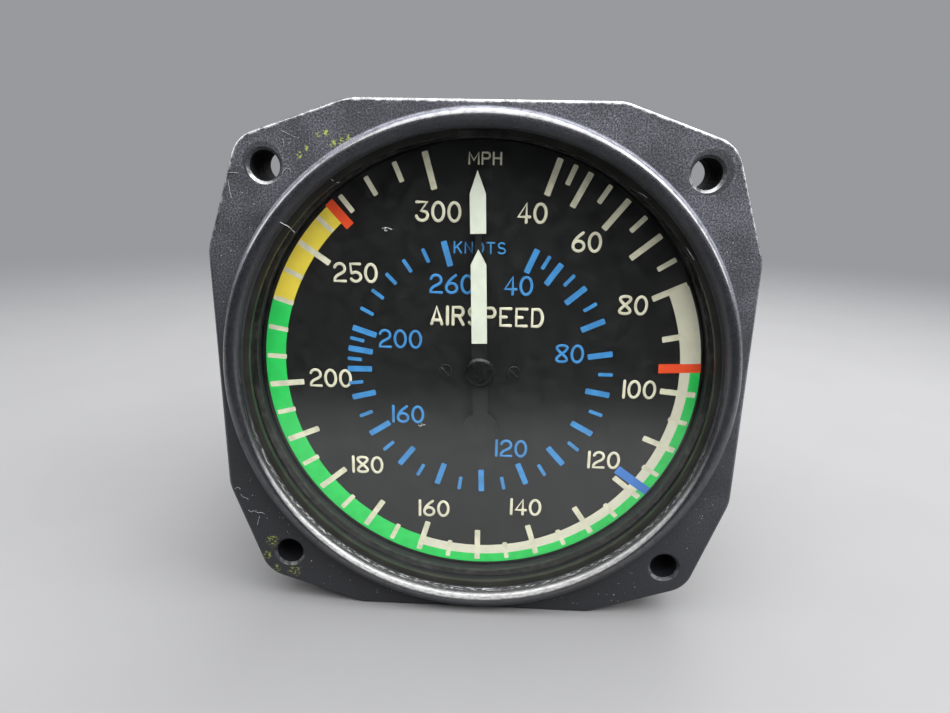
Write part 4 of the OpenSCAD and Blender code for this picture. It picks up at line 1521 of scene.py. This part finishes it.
@dataclass
class Dust:
    """Specks and fibres that lie on the flange, the ring and the glass."""

    shop: Workshop
    seed: int = 11
    speck_count: int = 320
    flange_y: float = 0.0
    fibre_radius: float = 0.034 * MM
    flange_fibres: tuple[tuple[Point, ...], ...] = (
        ((-36.74, 30.36), (-36.01, 30.42), (-35.18, 30.3)),
        ((-36.83, 29.32), (-36.73, 27.92), (-36.54, 26.74)),
        ((-28.87, 30.37), (-28.55, 30.86), (-28.09, 31.14), (-27.6, 30.95), (-27.55, 30.54),
         (-27.86, 30.18)),
        ((-28.5, 35.11), (-28.33, 34.61), (-28.41, 34.04)),
        ((-28.64, 36.26), (-27.67, 35.76), (-26.64, 35.33)),
        ((-39.9, -20.1), (-39.6, -19.7), (-39.3, -19.65), (-39.0, -20.04)),
        ((-39.0, -20.9), (-38.69, -21.56), (-38.18, -21.45), (-37.79, -21.93)),
        ((-38.0, -23.78), (-37.5, -24.29), (-37.01, -23.8), (-36.37, -24.33), (-35.68, -24.11),
         (-35.25, -24.47)),
        ((-36.6, -26.6), (-36.4, -25.46), (-36.07, -24.88)),
    )
    glass_fibres: tuple[tuple[Point, ...], ...] = (
        ((-14.83, 22.81), (-14.22, 23.05), (-13.77, 22.84), (-13.33, 22.7)),
        ((-14.22, 22.97), (-14.5, 22.65), (-14.31, 22.38), (-14.0, 22.6)),
        ((-9.58, -8.14), (-9.25, -8.39), (-8.76, -8.03), (-8.44, -8.1)),
        ((-9.3, -8.5), (-9.1, -8.2), (-9.0, -7.85)),
    )
    ring_fibres: tuple[tuple[Place, ...], ...] = (
        ((-29.03, -1.68, 23.62), (-28.51, -1.0, 23.2), (-28.28, 0.5, 22.73), (-27.89, 1.36, 21.81)),
        ((-21.89, 0.55, 29.73), (-21.5, 0.55, 29.29), (-20.96, 1.3, 29.24)),
        ((22.06, 0.55, 28.78), (22.81, 0.55, 28.52), (23.41, 0.55, 28.02)),
        ((29.66, 0.55, 21.17), (30.37, 0.55, 20.28), (30.98, 0.55, 19.42)),
    )
    speck_sizes: Point = (0.035, 0.1)
    speck_shape: Place = (1.0, 0.35, 0.6)
    speck_ring: Point = (40.6, 45.5)
    speck_limit: float = 39.4 * MM
    hole_reach: float = 3.2 * MM
    grey: Fluff = Fluff("grey lint", (0.28, 0.28, 0.29))
    pale: Fluff = Fluff("pale lint", (0.8, 0.81, 0.82))
    dust: Fluff = Fluff("pale dust", (0.42, 0.42, 0.41))

    def fibres(self, lines: Sequence[Sequence[Point]], depth: float) -> list[Stroke]:
        """Lint that lies on a plane.

        Args:
            lines: Points of each fibre in millimetres, across and up.
            depth: The plane's depth.

        Returns:
            One stroke for each fibre.
        """
        place = depth - self.fibre_radius
        return [[(Vector((x * MM, place, z * MM)), 1.0) for x, z in line] for line in lines]

    def speck(self, place: Vector, size: float, spin: float) -> bmesh.types.BMesh:
        """One flat grain.

        Args:
            place: Where it lies.
            size: Its radius.
            spin: How it is turned about the depth.

        Returns:
            The grain.
        """
        shape = bmesh.new()
        stretch = Matrix.Diagonal((*self.speck_shape, 1.0))
        turn = Matrix.Rotation(spin, 4, "Y")
        bmesh.ops.create_icosphere(
            shape, subdivisions=1, radius=size, matrix=Matrix.Translation(place) @ turn @ stretch
        )
        return shape

    def build(self) -> None:
        """Scatters the dust."""
        draw = random.Random(self.seed)
        glass_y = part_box("cover_glass")[0][1]
        hanging = [[(Vector(point) * MM, 1.0) for point in line] for line in self.ring_fibres]
        for name, strokes, finish in (
            ("flange_lint", self.fibres(self.flange_fibres, self.flange_y), self.grey),
            ("glass_lint", self.fibres(self.glass_fibres, glass_y), self.pale),
            ("ring_lint", hanging, self.pale),
        ):
            lint = linked(name, drawn(name, strokes, self.fibre_radius, 1, True))
            self.shop.coat(lint, finish)
            self.shop.add(lint, Body.HOUSING, Slot.CASE)
        grains = []
        hole = mount("panel_screws")["dims"]["spacing_x_mm"] * MM / 2
        for _ in range(self.speck_count):
            angle = draw.uniform(0, 2 * math.pi)
            radius = draw.uniform(*self.speck_ring) * MM
            x, z = radius * math.cos(angle), radius * math.sin(angle)
            off_hole = math.hypot(abs(x) - hole, abs(z) - hole)
            if max(abs(x), abs(z)) > self.speck_limit or off_hole < self.hole_reach:
                continue
            size, spin = draw.uniform(*self.speck_sizes) * MM, draw.uniform(0, 3)
            grains.append(self.speck(Vector((x, self.flange_y, z)), size, spin))
        specks = placed("dust_specks", gathered(grains))
        self.shop.coat(specks, self.dust)
        self.shop.add(specks, Body.HOUSING, Slot.CASE)


@dataclass(frozen=True)
class SoftBox:
    """One soft light that faces the dial; it may give light without a reflection of itself."""

    name: str
    place: Place
    size: Point
    power: float
    shines: bool = True

    def build(self) -> None:
        """Hangs the light."""
        data = bpy.data.lights.new(self.name, "AREA")
        data.shape = "RECTANGLE"
        data.size, data.size_y = self.size
        data.energy = self.power
        lamp = bpy.data.objects.new(self.name, data)
        lamp.location = self.place
        lamp.rotation_euler = (-Vector(self.place)).to_track_quat("-Z", "Y").to_euler()
        lamp.visible_glossy = self.shines
        lamp.visible_camera = False
        bpy.context.scene.collection.objects.link(lamp)


@dataclass
class Studio:
    """Floor, light and camera."""

    shop: Workshop
    lens: float = 24.54
    sensor: float = 36.0
    near: float = 0.005
    camera_place: Place = (3.042 * MM, -95.305 * MM, 30.905 * MM)
    right: Place = (0.998862, 0.043816, 0.018834)
    up: Place = (-0.030029, 0.270992, 0.962113)
    back: Place = (0.037052, -0.961584, 0.271999)
    floor_size: float = 6.0
    card_y: float = -62.0 * MM
    card_size: Point = (0.6, 0.16)
    air: Colour = (0.92, 0.95, 1.0)
    air_strength: float = 0.34
    lights: tuple[SoftBox, ...] = (
        SoftBox("ceiling_panel", (0.08, -0.1, 0.6), (1.2, 0.8), 20.0),
        SoftBox("right_panel", (0.6, -0.16, 0.35), (0.5, 0.5), 6.0),
        SoftBox("left_panel", (-0.6, 0.05, 0.35), (0.5, 0.4), 2.5),
        SoftBox("front_box", (0.32, -0.45, 0.5), (0.6, 0.4), 3.0, False),
        SoftBox("rear_box", (0.1, 0.55, 0.45), (0.6, 0.4), 4.0),
    )

    def floor(self) -> None:
        """Pale floor under the flange."""
        shape = bmesh.new()
        bmesh.ops.create_grid(shape, x_segments=1, y_segments=1, size=self.floor_size / 2)
        floor = placed("floor", moved(shape, 0.0, 0.0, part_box("case")[0][2]))
        self.shop.coat(floor, Plaster("pale floor"))

    def card(self) -> None:
        """Dark card in front, seen in reflections alone, that keeps the glass and the paint dark."""
        wide, tall = self.card_size
        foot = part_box("case")[0][2]
        stand = Matrix.Translation((0.0, self.card_y, foot + tall / 2))
        turn = Matrix.Rotation(math.pi / 2, 4, "X")
        size = Matrix.Diagonal((wide, tall, 1.0, 1.0))
        shape = bmesh.new()
        bmesh.ops.create_grid(shape, x_segments=1, y_segments=1, size=0.5, matrix=stand @ turn @ size)
        card = placed("dark_card", shape)
        card.visible_camera = False
        card.visible_shadow = False
        card.visible_diffuse = False
        self.shop.coat(card, DarkCard("dark card"))

    def sky(self) -> None:
        """Even surrounding light."""
        world = bpy.data.worlds.new("studio_air")
        world.use_nodes = True
        colour, strength = world.node_tree.nodes["Background"].inputs[:2]
        colour.default_value = (*self.air, 1.0)
        strength.default_value = self.air_strength
        bpy.context.scene.world = world

    def camera(self) -> None:
        """Camera where the photographer's stood."""
        data = bpy.data.cameras.new("camera")
        data.lens = self.lens
        data.sensor_width = self.sensor
        data.sensor_fit = "HORIZONTAL"
        data.clip_start = self.near
        eye = bpy.data.objects.new("camera", data)
        turn = Matrix((self.right, self.up, self.back)).transposed().to_4x4()
        eye.matrix_world = Matrix.Translation(self.camera_place) @ turn
        bpy.context.scene.collection.objects.link(eye)
        bpy.context.scene.camera = eye

    def build(self) -> None:
        """Sets up the studio."""
        bpy.context.scene.view_settings.view_transform = "Standard"
        self.floor()
        self.card()
        for light in self.lights:
            light.build()
        self.sky()
        self.camera()


def main() -> None:
    """Builds every part in order."""
    logging.basicConfig(level=logging.INFO, format="%(name)s: %(message)s")
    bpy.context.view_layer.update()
    shop = Workshop()
    for part in (
        Casting(shop), GlassSet(shop), Dial(shop), DialScrews(shop), Pointer(shop), Movement(shop),
        RearFittings(shop), Dust(shop), Studio(shop),
    ):
        part.build()


if __name__ == "__main__":
    main()
